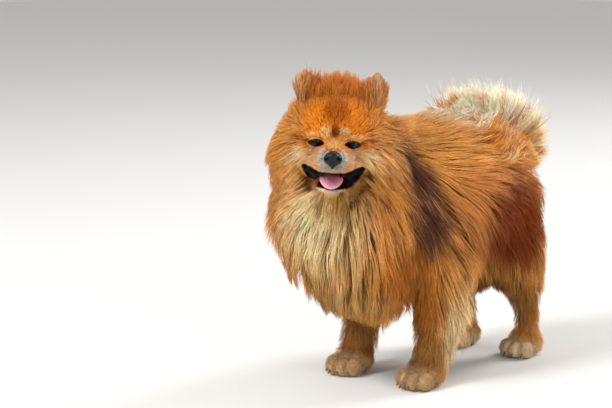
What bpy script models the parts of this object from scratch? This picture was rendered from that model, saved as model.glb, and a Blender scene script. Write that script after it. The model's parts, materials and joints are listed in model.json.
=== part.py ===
"""A standing Pomeranian in full coat, life size, as a museum model.

The dog faces -Y with +Z up, its left side on +X, and it turns its head to its own left. Every solid
is the shape of the coat as it is seen, out to the tips of the locks. The body is modelled whole from
rounded forms, given its locks, and then parted into head, jaw, neck, trunk and legs with thin cuts.
Sizes are in metres.
"""
import math
import random

import bmesh
import bpy
from mathutils import Matrix, Vector
from mathutils.bvhtree import BVHTree

# Driving sizes of the dog
WITHERS_TOP = 0.257        # top of the coat over the shoulders
RUMP_TOP = 0.240           # top of the coat over the hips
BELLY_LOW = 0.066          # lowest point of the belly fringe
TRUNK_HALF_WIDTH = 0.078   # half the width of the trunk with its coat
MANE_HALF_WIDTH = 0.079    # half the width of the mane, seen from the head's own front
GAP = 0.0004               # width left between neighbouring solids

# Soles of the four feet: the middle of each paw on the floor
FOOT_PLACES = {
    "fore_left": Vector((0.043, -0.087, 0.0)),
    "fore_right": Vector((-0.043, -0.093, 0.0)),
    "hind_left": Vector((0.034, 0.080, 0.0)),
    "hind_right": Vector((-0.040, 0.072, 0.0)),
}
SOLE_LEVEL = 0.0           # the paws are cut flat here, a little above their rounded undersides

TAIL_PIVOT = Vector((0.0, 0.054, 0.213))  # the middle of the fan of the plume

# The head's own frame: its origin is midway between the eyes, its front is -Y
HEAD_PLACE = Vector((0.010, -0.177, 0.2373))
HEAD_YAW = math.radians(42.0)
HEAD_PITCH = math.radians(-7.0)
HEAD_ROLL = math.radians(3.0)
HEAD = (Matrix.Translation(HEAD_PLACE) @ Matrix.Rotation(HEAD_YAW, 4, "Z")
        @ Matrix.Rotation(HEAD_PITCH, 4, "X") @ Matrix.Rotation(HEAD_ROLL, 4, "Y"))
DOG = Matrix.Identity(4)

FORE_PAW = (0.0260, 0.0195)  # half the length and half the width of a forepaw
HIND_PAW = (0.0240, 0.0180)  # the same of a hind paw

EYE_APART = 0.0168         # from the middle of the face to the middle of an eye
EYE_RADIUS = 0.0085
EYE_DEPTH = 0.0088         # from the face's front to the middle of the eyeball
LID_OPEN = (0.0064, 0.0031)  # half the length and half the height of the opening between the lids

# How finely the forms are remeshed, and how many faces are kept
SOFT_VOXEL = 0.0035
LOCK_VOXEL = 0.0022
FACE_VOXEL = 0.0016
BODY_FACES = 2150
MOUTH_FACES = 160
HEAD_FACES = 1900          # of the head and the mane round it, most of which the cell then cuts away
TAIL_FACES = 640

COAT_RUST = (0.50, 0.20, 0.06)
COAT_GOLD = (0.72, 0.42, 0.19)
COAT_CREAM = (0.84, 0.70, 0.48)
SKIN_BLACK = (0.02, 0.02, 0.025)
TONGUE_PINK = (0.80, 0.35, 0.38)
CLAW_DARK = (0.10, 0.08, 0.07)


def clear_scene():
    for old in list(bpy.data.objects):
        bpy.data.objects.remove(old, do_unlink=True)


def new_collection(name):
    made = bpy.data.collections.new(name)
    bpy.context.scene.collection.children.link(made)
    return made


def material(name, colour, roughness):
    made = bpy.data.materials.new(name)
    made.use_nodes = True
    shader = made.node_tree.nodes["Principled BSDF"]
    shader.inputs["Base Color"].default_value = (*colour, 1.0)
    shader.inputs["Roughness"].default_value = roughness
    shader.inputs["Metallic"].default_value = 0.0
    return made


def object_of(name, form, collection):
    """An object from a bmesh, which it frees."""
    mesh = bpy.data.meshes.new(name)
    form.to_mesh(mesh)
    form.free()
    made = bpy.data.objects.new(name, mesh)
    collection.objects.link(made)
    return made


def evaluated_mesh(obj):
    bpy.context.view_layer.update()
    graph = bpy.context.evaluated_depsgraph_get()
    return bpy.data.meshes.new_from_object(obj.evaluated_get(graph))


def with_modifiers(obj):
    """Applies the object's modifiers to its mesh."""
    mesh = evaluated_mesh(obj)
    obj.modifiers.clear()
    obj.data = mesh
    return obj


def add_ball(form, centre, radii, frame=DOG, yaw=0.0, tilt=0.0):
    """A rounded form: a sphere stretched to three radii, turned about Z and then about X."""
    place = frame @ Matrix.Translation(centre)
    place = place @ Matrix.Rotation(math.radians(yaw), 4, "Z") @ Matrix.Rotation(math.radians(tilt), 4, "X")
    bmesh.ops.create_uvsphere(form, u_segments=24, v_segments=14, radius=1.0,
                              matrix=place @ Matrix.Diagonal((*radii, 1.0)))


def along(start, end):
    """The place midway between two points, with Z pointing from the first to the second."""
    turn = (end - start).to_track_quat("Z", "Y").to_matrix().to_4x4()
    return Matrix.Translation((start + end) / 2) @ turn


def add_limb(form, stations, frame=DOG):
    """A tapering limb through stations of (point, radius), rounded at each station."""
    for point, radius in stations:
        bmesh.ops.create_uvsphere(form, u_segments=16, v_segments=10, radius=radius,
                                  matrix=frame @ Matrix.Translation(point))
    for (start, wide), (end, narrow) in zip(stations, stations[1:]):
        start, end = Vector(start), Vector(end)
        axis = end - start
        bmesh.ops.create_cone(form, cap_ends=True, segments=16, radius1=wide, radius2=narrow,
                              depth=axis.length, matrix=frame @ along(start, end))


def add_pair(add, form, centre, *sizes, **placing):
    """The same form on both sides of the frame's middle plane."""
    add(form, centre, *sizes, **placing)
    mirrored = dict(placing, yaw=-placing.get("yaw", 0.0))
    add(form, (-centre[0], centre[1], centre[2]), *sizes, **mirrored)


def trunk_forms(form):
    """Back, ribs, loin, rump and belly fringe."""
    rib_height = 0.088
    add_ball(form, (0.0, -0.018, WITHERS_TOP - rib_height), (TRUNK_HALF_WIDTH, 0.098, rib_height))
    rump_height = 0.078
    add_ball(form, (0.0, 0.044, RUMP_TOP - rump_height), (TRUNK_HALF_WIDTH - 0.008, 0.058, rump_height))
    add_ball(form, (0.0, 0.012, BELLY_LOW + 0.050), (0.054, 0.078, 0.050))
    add_pair(add_ball, form, (0.044, -0.060, 0.150), (0.034, 0.044, 0.072))
    add_pair(add_ball, form, (0.040, 0.050, 0.122), (0.030, 0.038, 0.056))


def neck_forms(form):
    """The mane: a ruff round the neck, the fall of the chest and the crest of the neck."""
    add_ball(form, (0.0, -0.078, 0.190), (0.064, 0.066, 0.066))
    add_ball(form, (-0.009, -0.136, 0.196), (0.074, 0.048, 0.060), yaw=38)
    add_ball(form, (-0.006, -0.138, 0.162), (MANE_HALF_WIDTH, 0.056, 0.062), yaw=38)
    add_ball(form, (-0.004, -0.126, 0.118), (0.056, 0.048, 0.054), yaw=34)
    add_ball(form, (0.004, -0.112, 0.096), (0.036, 0.036, 0.042), yaw=30)


def head_forms(form):
    """Skull, crown and cheeks with their coat, in the head's frame."""
    add_ball(form, (0.0, 0.046, 0.004), (0.056, 0.046, 0.046), frame=HEAD)
    add_ball(form, (0.0, 0.044, 0.030), (0.041, 0.030, 0.030), frame=HEAD)
    add_pair(add_ball, form, (0.034, 0.036, -0.014), (0.028, 0.026, 0.038), frame=HEAD)
    add_ball(form, (0.0, 0.032, -0.055), (0.036, 0.030, 0.022), frame=HEAD)


def face_forms(form):
    """Brows, cheeks, muzzle and dropped lower jaw, in the head's frame."""
    add_ball(form, (0.0, 0.020, 0.016), (0.034, 0.022, 0.030), frame=HEAD)
    add_pair(add_ball, form, (0.022, 0.020, -0.012), (0.020, 0.019, 0.022), frame=HEAD)
    add_pair(add_ball, form, (0.0115, 0.009, 0.0105), (0.0100, 0.0095, 0.0065), frame=HEAD)
    add_pair(add_ball, form, (EYE_APART, EYE_DEPTH, 0.0), (0.0115, 0.0102, 0.0098), frame=HEAD)
    add_limb(form, [((0.0, 0.012, -0.009), 0.0185), ((0.0, -0.012, -0.0130), 0.0145),
                    ((0.0, -0.022, -0.0148), 0.0115)], frame=HEAD)
    add_pair(add_ball, form, (0.0075, -0.018, -0.0200), (0.0098, 0.0125, 0.0080), frame=HEAD)
    add_pair(add_ball, form, (0.0165, 0.002, -0.0240), (0.0105, 0.0140, 0.0105), frame=HEAD)
    add_limb(form, [((0.0, 0.034, -0.044), 0.0200), ((0.0, 0.010, -0.0445), 0.0150),
                    ((0.0, -0.005, -0.0450), 0.0085)], frame=HEAD)


def leg_forms(form):
    """Legs and paws, each from its own foot place."""
    for side, out in (("left", 1.0), ("right", -1.0)):
        foot = FOOT_PLACES["fore_" + side]
        add_limb(form, [(foot + Vector((0.0, 0.006, 0.022)), 0.0158),
                        (foot + Vector((0.001 * out, 0.012, 0.050)), 0.0180),
                        (foot + Vector((-0.001 * out, 0.018, 0.082)), 0.0275),
                        (foot + Vector((-0.002 * out, 0.026, 0.118)), 0.0370)])
        for shift, low in ((0.034, 0.016), (0.046, 0.014), (0.056, 0.034)):
            add_limb(form, [(foot + Vector((0.001 * out, shift - 0.006, 0.098)), 0.0150),
                            (foot + Vector((0.002 * out, shift, 0.062)), 0.0100),
                            (foot + Vector((0.002 * out, shift - 0.002, low)), 0.0034)])
        add_paw(form, foot, FORE_PAW)
        foot = FOOT_PLACES["hind_" + side]
        add_limb(form, [(foot + Vector((0.0, 0.005, 0.014)), 0.0120),
                        (foot + Vector((0.001 * out, 0.003, 0.046)), 0.0125),
                        (foot + Vector((0.003 * out, -0.010, 0.074)), 0.0200),
                        (foot + Vector((0.005 * out, -0.024, 0.105)), 0.0320)])
        add_limb(form, [(foot + Vector((0.003 * out, 0.004, 0.086)), 0.0150),
                        (foot + Vector((0.002 * out, 0.014, 0.058)), 0.0040)])
        add_paw(form, foot, HIND_PAW)


def toe_centres(foot, paw):
    """The middles of the four toes of a paw, from the inner to the outer one."""
    half_length, half_width = paw
    return [foot + Vector((half_width * spread, -half_length * reach, 0.0085))
            for spread, reach in ((-0.70, 0.50), (-0.25, 0.74), (0.25, 0.74), (0.70, 0.50))]


def add_paw(form, foot, paw):
    """The pad of the foot and its four toes."""
    half_length, half_width = paw
    add_ball(form, foot + Vector((0.0, 0.0, 0.0120)), (half_width, half_length * 0.90, 0.0135))
    for centre in toe_centres(foot, paw):
        add_ball(form, centre, (half_width * 0.36, half_length * 0.40, 0.0105))


def add_lock(form, root, heading, length, width, curl):
    """A pointed lock of coat: three tapering lengths that bend by the curl vector, flatter than wide."""
    flat = Matrix.Diagonal((1.0, 0.85, 1.0, 1.0))
    points = [root + heading * (length * t) + curl * (t * t) for t in (0.0, 0.35, 0.70, 1.0)]
    widths = (width * 0.8, width, width * 0.66, width * 0.10)
    for (start, wide), (end, narrow) in zip(zip(points, widths), zip(points[1:], widths[1:])):
        bmesh.ops.create_cone(form, cap_ends=True, segments=8, radius1=wide, radius2=narrow,
                              depth=(end - start).length * 1.08, matrix=along(start, end) @ flat)


def comb_row(form, surface, rng, axis_point, axis, angles, count, heading, length, width,
             lift=0.12, curl=(0.0, 0.0, -0.008), frame=DOG):
    """A row of locks round an axis. Each starts on the coat's surface and lies along the heading,
    lifted off the surface by a share of its normal."""
    axis_point, axis = frame @ Vector(axis_point), (frame.to_3x3() @ Vector(axis)).normalized()
    heading = (frame.to_3x3() @ Vector(heading)).normalized()
    start = Vector((0, -1, 0)) if abs(axis.z) > 0.9 else Vector((0, 0, 1))
    start = (start - axis * axis.dot(start)).normalized()
    for i in range(count):
        share = (i + 0.5 + rng.uniform(-0.2, 0.2)) / count
        angle = math.radians(angles[0] + (angles[1] - angles[0]) * share)
        outward = Matrix.Rotation(angle, 3, axis) @ start
        hit, normal, _, _ = surface.ray_cast(axis_point + outward * 0.30, -outward)
        if hit is None:
            continue
        lie = heading - normal * heading.dot(normal)
        lie = (lie.normalized() + normal * lift).normalized() if lie.length > 0.2 else heading
        size = rng.uniform(0.85, 1.15)
        add_lock(form, hit - normal * width * 0.55 - lie * length * 0.35, lie, length * size,
                 width * rng.uniform(0.85, 1.15), Vector(curl) * size)


def body_locks(form, surface):
    """Locks of the mane, chest, flanks, thighs, belly and legs."""
    rng = random.Random(11)
    for height, length, width in ((0.200, 0.060, 0.0090), (0.168, 0.064, 0.0095), (0.138, 0.062, 0.0095),
                                  (0.110, 0.056, 0.0085)):
        comb_row(form, surface, rng, (-0.004, -0.130, height), (0, 0, 1), (-105, 80), 10,
                 (0.0, -0.10, -1.0), length, width)
    comb_row(form, surface, rng, (0.008, -0.110, 0.088), (0, 0, 1), (-90, 90), 6, (0.02, 0.0, -1.0),
             0.040, 0.0080, lift=0.0)
    for side in (1, -1):
        for row in range(5):
            comb_row(form, surface, rng, (0.0, -0.078 + 0.034 * row, 0.160), (0, 1, 0),
                     (side * 28, side * 140), 5, (0.0, 0.60, -0.80), 0.058, 0.0095, lift=0.10)
        comb_row(form, surface, rng, (0.0, 0.012, 0.105), (0, 0, 1), (side * 60, side * 150), 5,
                 (0.0, 0.10, -1.0), 0.040, 0.0080, lift=0.06)
    comb_row(form, surface, rng, (0.0, 0.060, 0.150), (0, 0, 1), (120, 240), 7, (0.0, 0.30, -1.0),
             0.055, 0.0095, lift=0.10)
    comb_row(form, surface, rng, (0.0, 0.060, 0.112), (0, 0, 1), (120, 240), 7, (0.0, 0.30, -1.0),
             0.050, 0.0085, lift=0.12)


def head_locks(form, surface):
    """The spiky top of the head and the locks of the cheeks."""
    rng = random.Random(5)
    for depth in (0.026, 0.040, 0.054):
        comb_row(form, surface, rng, (0.0, depth, 0.010), (0, 1, 0), (-42, 42), 7, (0.0, 0.5, 1.0),
                 0.024, 0.0050, lift=0.7, curl=(0, 0, 0), frame=HEAD)
    for side in (1, -1):
        comb_row(form, surface, rng, (0.0, 0.034, -0.004), (0, 1, 0), (side * 50, side * 140), 6,
                 (0.8 * side, 0.45, -0.5), 0.040, 0.0062, lift=0.05, frame=HEAD)


def tail_forms(form):
    """The tail rises from the rump and lies curled forward over the back, under a deep plume."""
    add_limb(form, [((0.0, 0.086, 0.200), 0.024), ((0.0, 0.092, 0.214), 0.028),
                    ((0.0, 0.072, 0.228), 0.030), ((0.002, 0.040, 0.237), 0.025),
                    ((0.004, 0.010, 0.243), 0.015)])
    add_ball(form, TAIL_PIVOT, (0.036, 0.055, 0.047))


def tail_locks(form):
    """Long locks that fan out round the curl of the tail, their tips falling forward."""
    rng = random.Random(23)
    rows, around = (-0.85, -0.50, -0.17, 0.17, 0.50, 0.85), 9
    for number, sideways in enumerate(rows):
        for i in range(around):
            angle = math.radians(-16 + 176 * (i + 0.5 * (number % 2)) / (around - 0.5))
            fan = Vector((sideways, 1.1 * math.cos(angle), math.sin(angle)))
            reach = 0.062 * min(fan.length, 1.1) * rng.uniform(0.95, 1.04)
            fan.normalize()
            swirl = Vector((0.0, -math.sin(angle), math.cos(angle)))
            root = TAIL_PIVOT + fan * reach * 0.45 - swirl * 0.008
            add_lock(form, root, (fan + swirl * 0.15).normalized(), reach * 0.58, 0.0115, swirl * 0.010)


def soft_mesh(name, form, guides, voxel, rounds):
    """Runs the overlapping forms together into one smooth skin."""
    obj = object_of(name, form, guides)
    remesh = obj.modifiers.new("Run together", "REMESH")
    remesh.mode = "VOXEL"
    remesh.voxel_size = voxel
    smooth = obj.modifiers.new("Soften", "SMOOTH")
    smooth.factor = 0.5
    smooth.iterations = rounds
    return with_modifiers(obj)


def coat_with_locks(name, soft, add_locks, guides, voxel, faces):
    """The soft form with its locks run in, thinned to a modest number of faces."""
    form = bmesh.new()
    form.from_mesh(soft.data)
    add_locks(form)
    obj = object_of(name, form, guides)
    remesh = obj.modifiers.new("Run together", "REMESH")
    remesh.mode = "VOXEL"
    remesh.voxel_size = voxel
    smooth = obj.modifiers.new("Soften", "SMOOTH")
    smooth.factor = 0.5
    smooth.iterations = 1
    return thin_out(with_modifiers(obj), faces)


def thin_out(obj, faces):
    """Thins a mesh to about this many triangles."""
    thin = obj.modifiers.new("Thin out", "DECIMATE")
    thin.ratio = min(1.0, faces / sum(len(p.vertices) - 2 for p in obj.data.polygons))
    thin.use_collapse_triangulate = True
    return with_modifiers(obj)


def boolean(obj, operation, other):
    """Cuts or keeps the object with the other one at once."""
    modifier = obj.modifiers.new(operation.title(), "BOOLEAN")
    modifier.operation = operation
    modifier.solver = "EXACT"
    modifier.object = other
    return with_modifiers(obj)


def largest_piece(obj):
    """Leaves only the largest connected piece of the mesh."""
    form = bmesh.new()
    form.from_mesh(obj.data)
    left = set(form.verts)
    pieces = []
    while left:
        todo = [left.pop()]
        piece = set(todo)
        while todo:
            for edge in todo.pop().link_edges:
                for vert in edge.verts:
                    if vert in left:
                        left.discard(vert)
                        piece.add(vert)
                        todo.append(vert)
        pieces.append(piece)
    keep = max(pieces, key=len)
    bmesh.ops.delete(form, geom=[v for v in form.verts if v not in keep], context="VERTS")
    form.to_mesh(obj.data)
    form.free()
    return obj


def box_cutter(name, low, high, guides, frame=DOG, grow=0.0):
    """A box between two corners of a frame, grown on every side."""
    low, high = Vector(low) - Vector((grow,) * 3), Vector(high) + Vector((grow,) * 3)
    form = bmesh.new()
    bmesh.ops.create_cube(form, size=1.0, matrix=frame @ Matrix.Translation((low + high) / 2)
                          @ Matrix.Diagonal((*(high - low), 1.0)))
    cutter = object_of(name, form, guides)
    cutter.hide_render = True
    cutter.display_type = "WIRE"
    return cutter


def take_cell(name, whole, low, high, parts, guides, frame=DOG):
    """Parts the whole: what lies in a box becomes a node of its own, with a thin gap round it."""
    piece = bpy.data.objects.new(name, whole.data.copy())
    parts.objects.link(piece)
    boolean(piece, "INTERSECT", box_cutter(name + " cell", low, high, guides, frame))
    boolean(whole, "DIFFERENCE", box_cutter(name + " gap", low, high, guides, frame, grow=GAP))
    largest_piece(whole)
    return largest_piece(piece)


def ball_object(name, centre, radii, collection, frame=DOG, segments=24, tilt=0.0, roll=0.0):
    form = bmesh.new()
    place = frame @ Matrix.Translation(centre) @ Matrix.Rotation(math.radians(roll), 4, "Y")
    place = place @ Matrix.Rotation(math.radians(tilt), 4, "X") @ Matrix.Diagonal((*radii, 1.0))
    bmesh.ops.create_uvsphere(form, u_segments=segments, v_segments=segments // 2, radius=1.0, matrix=place)
    return object_of(name, form, collection)


def as_cutter(obj):
    obj.hide_render = True
    obj.display_type = "WIRE"
    return obj


def cut_with_ball(target, name, centre, radii, guides, frame=DOG, tilt=0.0, roll=0.0, segments=12):
    cutter = ball_object(name, centre, radii, guides, frame, segments, tilt, roll)
    boolean(target, "DIFFERENCE", as_cutter(cutter))


def make_eyes(head, parts, guides):
    """Eyeballs in their sockets, seen through the almond openings of the lids."""
    eyes = []
    for side, out in (("left", 1.0), ("right", -1.0)):
        centre = Vector((EYE_APART * out, EYE_DEPTH, 0.0))
        cut_with_ball(head, "socket " + side, centre, (EYE_RADIUS + GAP,) * 3, guides, HEAD, segments=14)
        cut_with_ball(head, "lids " + side, centre + Vector((0, -EYE_RADIUS, 0)),
                      (LID_OPEN[0], 0.0080, LID_OPEN[1]), guides, HEAD)
        eyes.append(ball_object("eye_" + side, centre, (EYE_RADIUS,) * 3, parts, HEAD, 14))
    return eyes


def make_nose(head, parts, guides):
    """The nose leather, with its nostrils, let into the end of the muzzle."""
    centre, radii = Vector((0.0, -0.0325, -0.0125)), (0.0084, 0.0062, 0.0062)
    nose = ball_object("nose", centre, radii, parts, HEAD, 14)
    for out in (1.0, -1.0):
        cut_with_ball(nose, "nostril", centre + Vector((0.0046 * out, -0.0045, -0.0012)),
                      (0.0019, 0.0036, 0.0013), guides, HEAD, roll=25.0 * out, segments=8)
    cut_with_ball(head, "nose bed", centre, tuple(r + GAP for r in radii), guides, HEAD, segments=14)
    return nose


def make_mouth(head, guides):
    """The open mouth: a smile cut back into the muzzle, from one corner to the other."""
    middle = (0.0, -0.012, -0.0340)
    bend = (0.0130, -0.008, -0.0325)
    rise = (0.0215, 0.001, -0.0275)
    corner = (0.0285, 0.009, -0.0215)
    form = bmesh.new()
    for out in (1.0, -1.0):
        add_limb(form, [((out * x, y, z), r) for (x, y, z), r in
                        zip((middle, bend, rise, corner), (0.0078, 0.0068, 0.0052, 0.0028))], frame=HEAD)
    add_ball(form, (0.0, 0.004, -0.0345), (0.0150, 0.0200, 0.0072), frame=HEAD)
    opening = thin_out(soft_mesh("mouth", form, guides, 0.0012, 2), MOUTH_FACES)
    boolean(head, "DIFFERENCE", as_cutter(opening))


def make_tongue(head, parts, guides):
    """The tongue, lying on the floor of the mouth with its tip down over the lower lip."""
    place, radii, slope = (-0.001, -0.0015, -0.0352), (0.0102, 0.0165, 0.0034), 28.0
    cut_with_ball(head, "tongue bed", place, tuple(r + GAP for r in radii), guides, HEAD, tilt=slope)
    return ball_object("tongue", place, radii, parts, HEAD, 12, tilt=slope)


def make_ear(side, out, head_grown, parts, guides):
    """A small upright ear: a rounded leaf, hollowed on the side that faces forward."""
    base, tip = Vector((0.0340 * out, 0.026, 0.0450)), Vector((0.0340 * out, 0.028, 0.0670))
    place = (HEAD @ Matrix.Translation(base) @ (tip - base).to_track_quat("Z", "Y").to_matrix().to_4x4()
             @ Matrix.Rotation(math.radians(180 - 12 * out), 4, "Z"))
    leaves = []
    leaf, hollow = (0.0110, 0.0050, 0.0220), (0.0078, 0.0042, 0.0175)
    for name, collection, radii, shift in (("ear_" + side, parts, leaf, 0.0),
                                           ("ear hollow " + side, guides, hollow, -0.0052)):
        form = bmesh.new()
        bmesh.ops.create_uvsphere(form, u_segments=10, v_segments=7, radius=1.0,
                                  matrix=Matrix.Diagonal((*radii, 1.0)))
        for vert in form.verts:
            vert.co.x *= 1.0 - 0.12 * vert.co.z / radii[2]
            vert.co.y += shift
        form.transform(place)
        leaves.append(object_of(name, form, collection))
    ear, hollow = leaves
    boolean(ear, "DIFFERENCE", as_cutter(hollow))
    boolean(ear, "DIFFERENCE", head_grown)
    return largest_piece(ear)


def make_claws(name, paw, size, parts, guides):
    """The claw of each toe of a paw, let into the end of the toe."""
    claws = []
    for number, centre in enumerate(toe_centres(FOOT_PLACES[name], size), 1):
        root = centre + Vector((0.0, -size[0] * 0.40, -0.0030))
        radii = (0.0014, 0.0044, 0.0018)
        claw = ball_object(f"claw_{name}_{number}", root, radii, parts, segments=6, tilt=24.0)
        cut_with_ball(paw, "claw bed", root, tuple(r + GAP for r in radii), guides, tilt=24.0, segments=6)
        claws.append(claw)
    return claws


def grown_copy(obj, guides):
    """A copy whose surface stands off by the gap, for cutting neighbours."""
    copy = bpy.data.objects.new(obj.name + " grown", obj.data.copy())
    guides.objects.link(copy)
    swell = copy.modifiers.new("Swell", "DISPLACE")
    swell.strength = GAP * 1.5
    swell.mid_level = 0.0
    with_modifiers(copy)
    return as_cutter(copy)


def finish_part(obj, finish):
    obj.data.materials.clear()
    obj.data.materials.append(finish)
    for face in obj.data.polygons:
        face.material_index = 0
    obj.data.shade_smooth()
    obj.data.set_sharp_from_angle(angle=math.radians(50))


def part_body(body, parts, guides):
    """Parts the body into paws, legs, thighs, chest, neck and trunk."""
    pieces = {}
    for side, out in (("left", 1.0), ("right", -1.0)):
        for end, paw_back, shank_top, reach in (("fore", 0.027, 0.098, (0.034, 0.080)),
                                                ("hind", 0.034, 0.076, (0.070, 0.050))):
            foot = FOOT_PLACES[f"{end}_{side}"]
            inner, outer = sorted((foot.x - 0.024 * out, foot.x + 0.060 * out))
            name = f"{end}paw_{side}"
            pieces[name] = take_cell(name, body, (inner, foot.y - 0.06, -0.02),
                                     (outer, foot.y + paw_back, 0.024), parts, guides)
            name = f"{end}leg_{side}"
            pieces[name] = take_cell(name, body, (inner, foot.y - reach[0], -0.02),
                                     (outer, foot.y + reach[1], shank_top), parts, guides)
        inner, outer = sorted((0.034 * out, 0.15 * out))
        name = "thigh_" + side
        pieces[name] = take_cell(name, body, (inner, 0.012, 0.03), (outer, 0.2, 0.168), parts, guides)
    pieces["chest"] = take_cell("chest", body, (-0.2, -0.3, 0.02), (0.2, -0.086, 0.134), parts, guides)
    pieces["neck"] = take_cell("neck", body, (-0.2, -0.3, 0.05), (0.2, -0.060, 0.4), parts, guides,
                               Matrix.Rotation(math.radians(-8), 4, "X"))
    pieces["trunk"] = body
    return pieces


def main():
    clear_scene()
    parts = new_collection("Pomeranian")
    guides = new_collection("Guides")
    guides.hide_render = True

    form = bmesh.new()
    for add_forms in (trunk_forms, neck_forms, head_forms, leg_forms):
        add_forms(form)
    soft = soft_mesh("soft body", form, guides, SOFT_VOXEL, 6)
    surface = BVHTree.FromPolygons([v.co for v in soft.data.vertices],
                                   [p.vertices for p in soft.data.polygons])
    body = coat_with_locks("trunk", soft, lambda made: body_locks(made, surface), guides,
                           LOCK_VOXEL, BODY_FACES)
    boolean(body, "DIFFERENCE", box_cutter("floor", (-0.3, -0.3, -0.1), (0.3, 0.3, SOLE_LEVEL), guides))

    form = bmesh.new()
    for add_forms in (neck_forms, head_forms, face_forms):
        add_forms(form)
    soft = soft_mesh("soft head", form, guides, FACE_VOXEL, 4)
    head = coat_with_locks("head", soft, lambda made: head_locks(made, surface), guides,
                           FACE_VOXEL, HEAD_FACES)
    cell = ((-0.09, -0.08, -0.062), (0.09, 0.058, 0.12))
    boolean(head, "INTERSECT", box_cutter("head cell", *cell, guides, HEAD))
    boolean(body, "DIFFERENCE", box_cutter("head gap", *cell, guides, HEAD, grow=GAP))
    for obj in (body, head):
        largest_piece(obj)
        guides.objects.unlink(obj)
        parts.objects.link(obj)

    form = bmesh.new()
    tail_forms(form)
    soft = soft_mesh("soft tail", form, guides, SOFT_VOXEL, 4)
    tail = coat_with_locks("tail", soft, tail_locks, guides, LOCK_VOXEL, TAIL_FACES)
    boolean(tail, "DIFFERENCE", grown_copy(body, guides))
    largest_piece(tail)
    guides.objects.unlink(tail)
    parts.objects.link(tail)

    ears = [make_ear(side, out, grown_copy(head, guides), parts, guides)
            for side, out in (("left", 1.0), ("right", -1.0))]
    eyes = make_eyes(head, parts, guides)
    nose = make_nose(head, parts, guides)
    make_mouth(head, guides)
    tongue = make_tongue(head, parts, guides)
    jaw = take_cell("jaw", head, (-0.026, -0.05, -0.061), (0.026, 0.014, -0.0335), parts, guides, HEAD)
    pieces = part_body(body, parts, guides)
    claws = []
    for name in FOOT_PLACES:
        end, side = name.split("_")
        size = FORE_PAW if end == "fore" else HIND_PAW
        claws += make_claws(name, pieces[f"{end}paw_{side}"], size, parts, guides)

    fur_rust = material("Rust coat", COAT_RUST, 0.85)
    fur_gold = material("Golden coat", COAT_GOLD, 0.85)
    fur_cream = material("Cream coat", COAT_CREAM, 0.85)
    leather = material("Nose leather", SKIN_BLACK, 0.35)
    wet_eye = material("Eye", SKIN_BLACK, 0.05)
    flesh = material("Tongue", TONGUE_PINK, 0.4)
    horn = material("Claw", CLAW_DARK, 0.4)
    for obj in (head, jaw, *ears, *pieces.values()):
        finish_part(obj, fur_rust)
    for obj in (pieces["neck"], pieces["chest"], *(pieces[n] for n in pieces if "paw" in n)):
        finish_part(obj, fur_gold)
    finish_part(tail, fur_cream)
    finish_part(nose, leather)
    finish_part(tongue, flesh)
    for obj in eyes:
        finish_part(obj, wet_eye)
    for obj in claws:
        finish_part(obj, horn)

    corners = [v.co for obj in parts.objects for v in obj.data.vertices]
    low = Vector(min(c[i] for c in corners) for i in range(3))
    high = Vector(max(c[i] for c in corners) for i in range(3))
    home = Matrix.Translation((-(low.x + high.x) / 2, -(low.y + high.y) / 2, -low.z))
    for obj in parts.objects:
        obj.data.transform(home)
    print("moved to the bounding box's bottom centre by", [round(x, 5) for x in home.translation])
    return home.translation


if __name__ == "__main__":
    main()
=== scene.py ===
# %% [markdown]
# # A Pomeranian in full coat
# This lesson dresses a life-size model of a small, long-haired dog. The dog stands, looks round past its
# left shoulder and pants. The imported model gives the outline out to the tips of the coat. Inside it come
# first one skin and then more than ninety thousand tufts of hair, combed over the skin, of which only a
# few flyaway ones pass the outline. Eyes, nose, tongue and claws finish the dog.

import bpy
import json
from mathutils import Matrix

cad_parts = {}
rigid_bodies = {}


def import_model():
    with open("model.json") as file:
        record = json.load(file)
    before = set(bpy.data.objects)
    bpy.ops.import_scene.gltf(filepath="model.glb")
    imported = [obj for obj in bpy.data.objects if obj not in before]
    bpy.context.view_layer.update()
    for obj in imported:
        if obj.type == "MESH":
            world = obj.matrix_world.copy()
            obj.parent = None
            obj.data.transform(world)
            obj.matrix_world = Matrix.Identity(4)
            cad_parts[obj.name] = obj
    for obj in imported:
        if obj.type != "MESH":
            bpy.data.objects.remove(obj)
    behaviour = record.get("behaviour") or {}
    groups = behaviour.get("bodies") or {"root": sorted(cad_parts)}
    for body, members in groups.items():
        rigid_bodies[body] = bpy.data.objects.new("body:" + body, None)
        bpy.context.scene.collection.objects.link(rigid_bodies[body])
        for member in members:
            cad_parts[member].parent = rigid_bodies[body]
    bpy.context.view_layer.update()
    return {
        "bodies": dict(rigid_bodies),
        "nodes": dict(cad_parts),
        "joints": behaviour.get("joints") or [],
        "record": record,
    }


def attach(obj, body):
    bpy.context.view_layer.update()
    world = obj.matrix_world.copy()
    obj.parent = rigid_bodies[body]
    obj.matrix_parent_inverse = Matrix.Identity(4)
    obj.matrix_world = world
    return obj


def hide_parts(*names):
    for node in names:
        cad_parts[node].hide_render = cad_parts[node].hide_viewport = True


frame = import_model()

# %% Import the tools
import json
import math

import bmesh
import bpy
import numpy as np
from mathutils import Matrix, Vector
from mathutils.bvhtree import BVHTree
from mathutils.kdtree import KDTree

# %% [markdown]
# ## Two frames to measure in
# A dog's body is easiest to measure from the floor between its feet, and its face from the point midway
# between its eyes. So every place below is given in one of two frames: DOG, with the nose towards -Y and
# the left side on +X, or HEAD, which is turned with the head. Lengths in tables are in millimetres. One
# seeded source of random numbers serves the whole coat, so the dog comes out the same every time.

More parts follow.
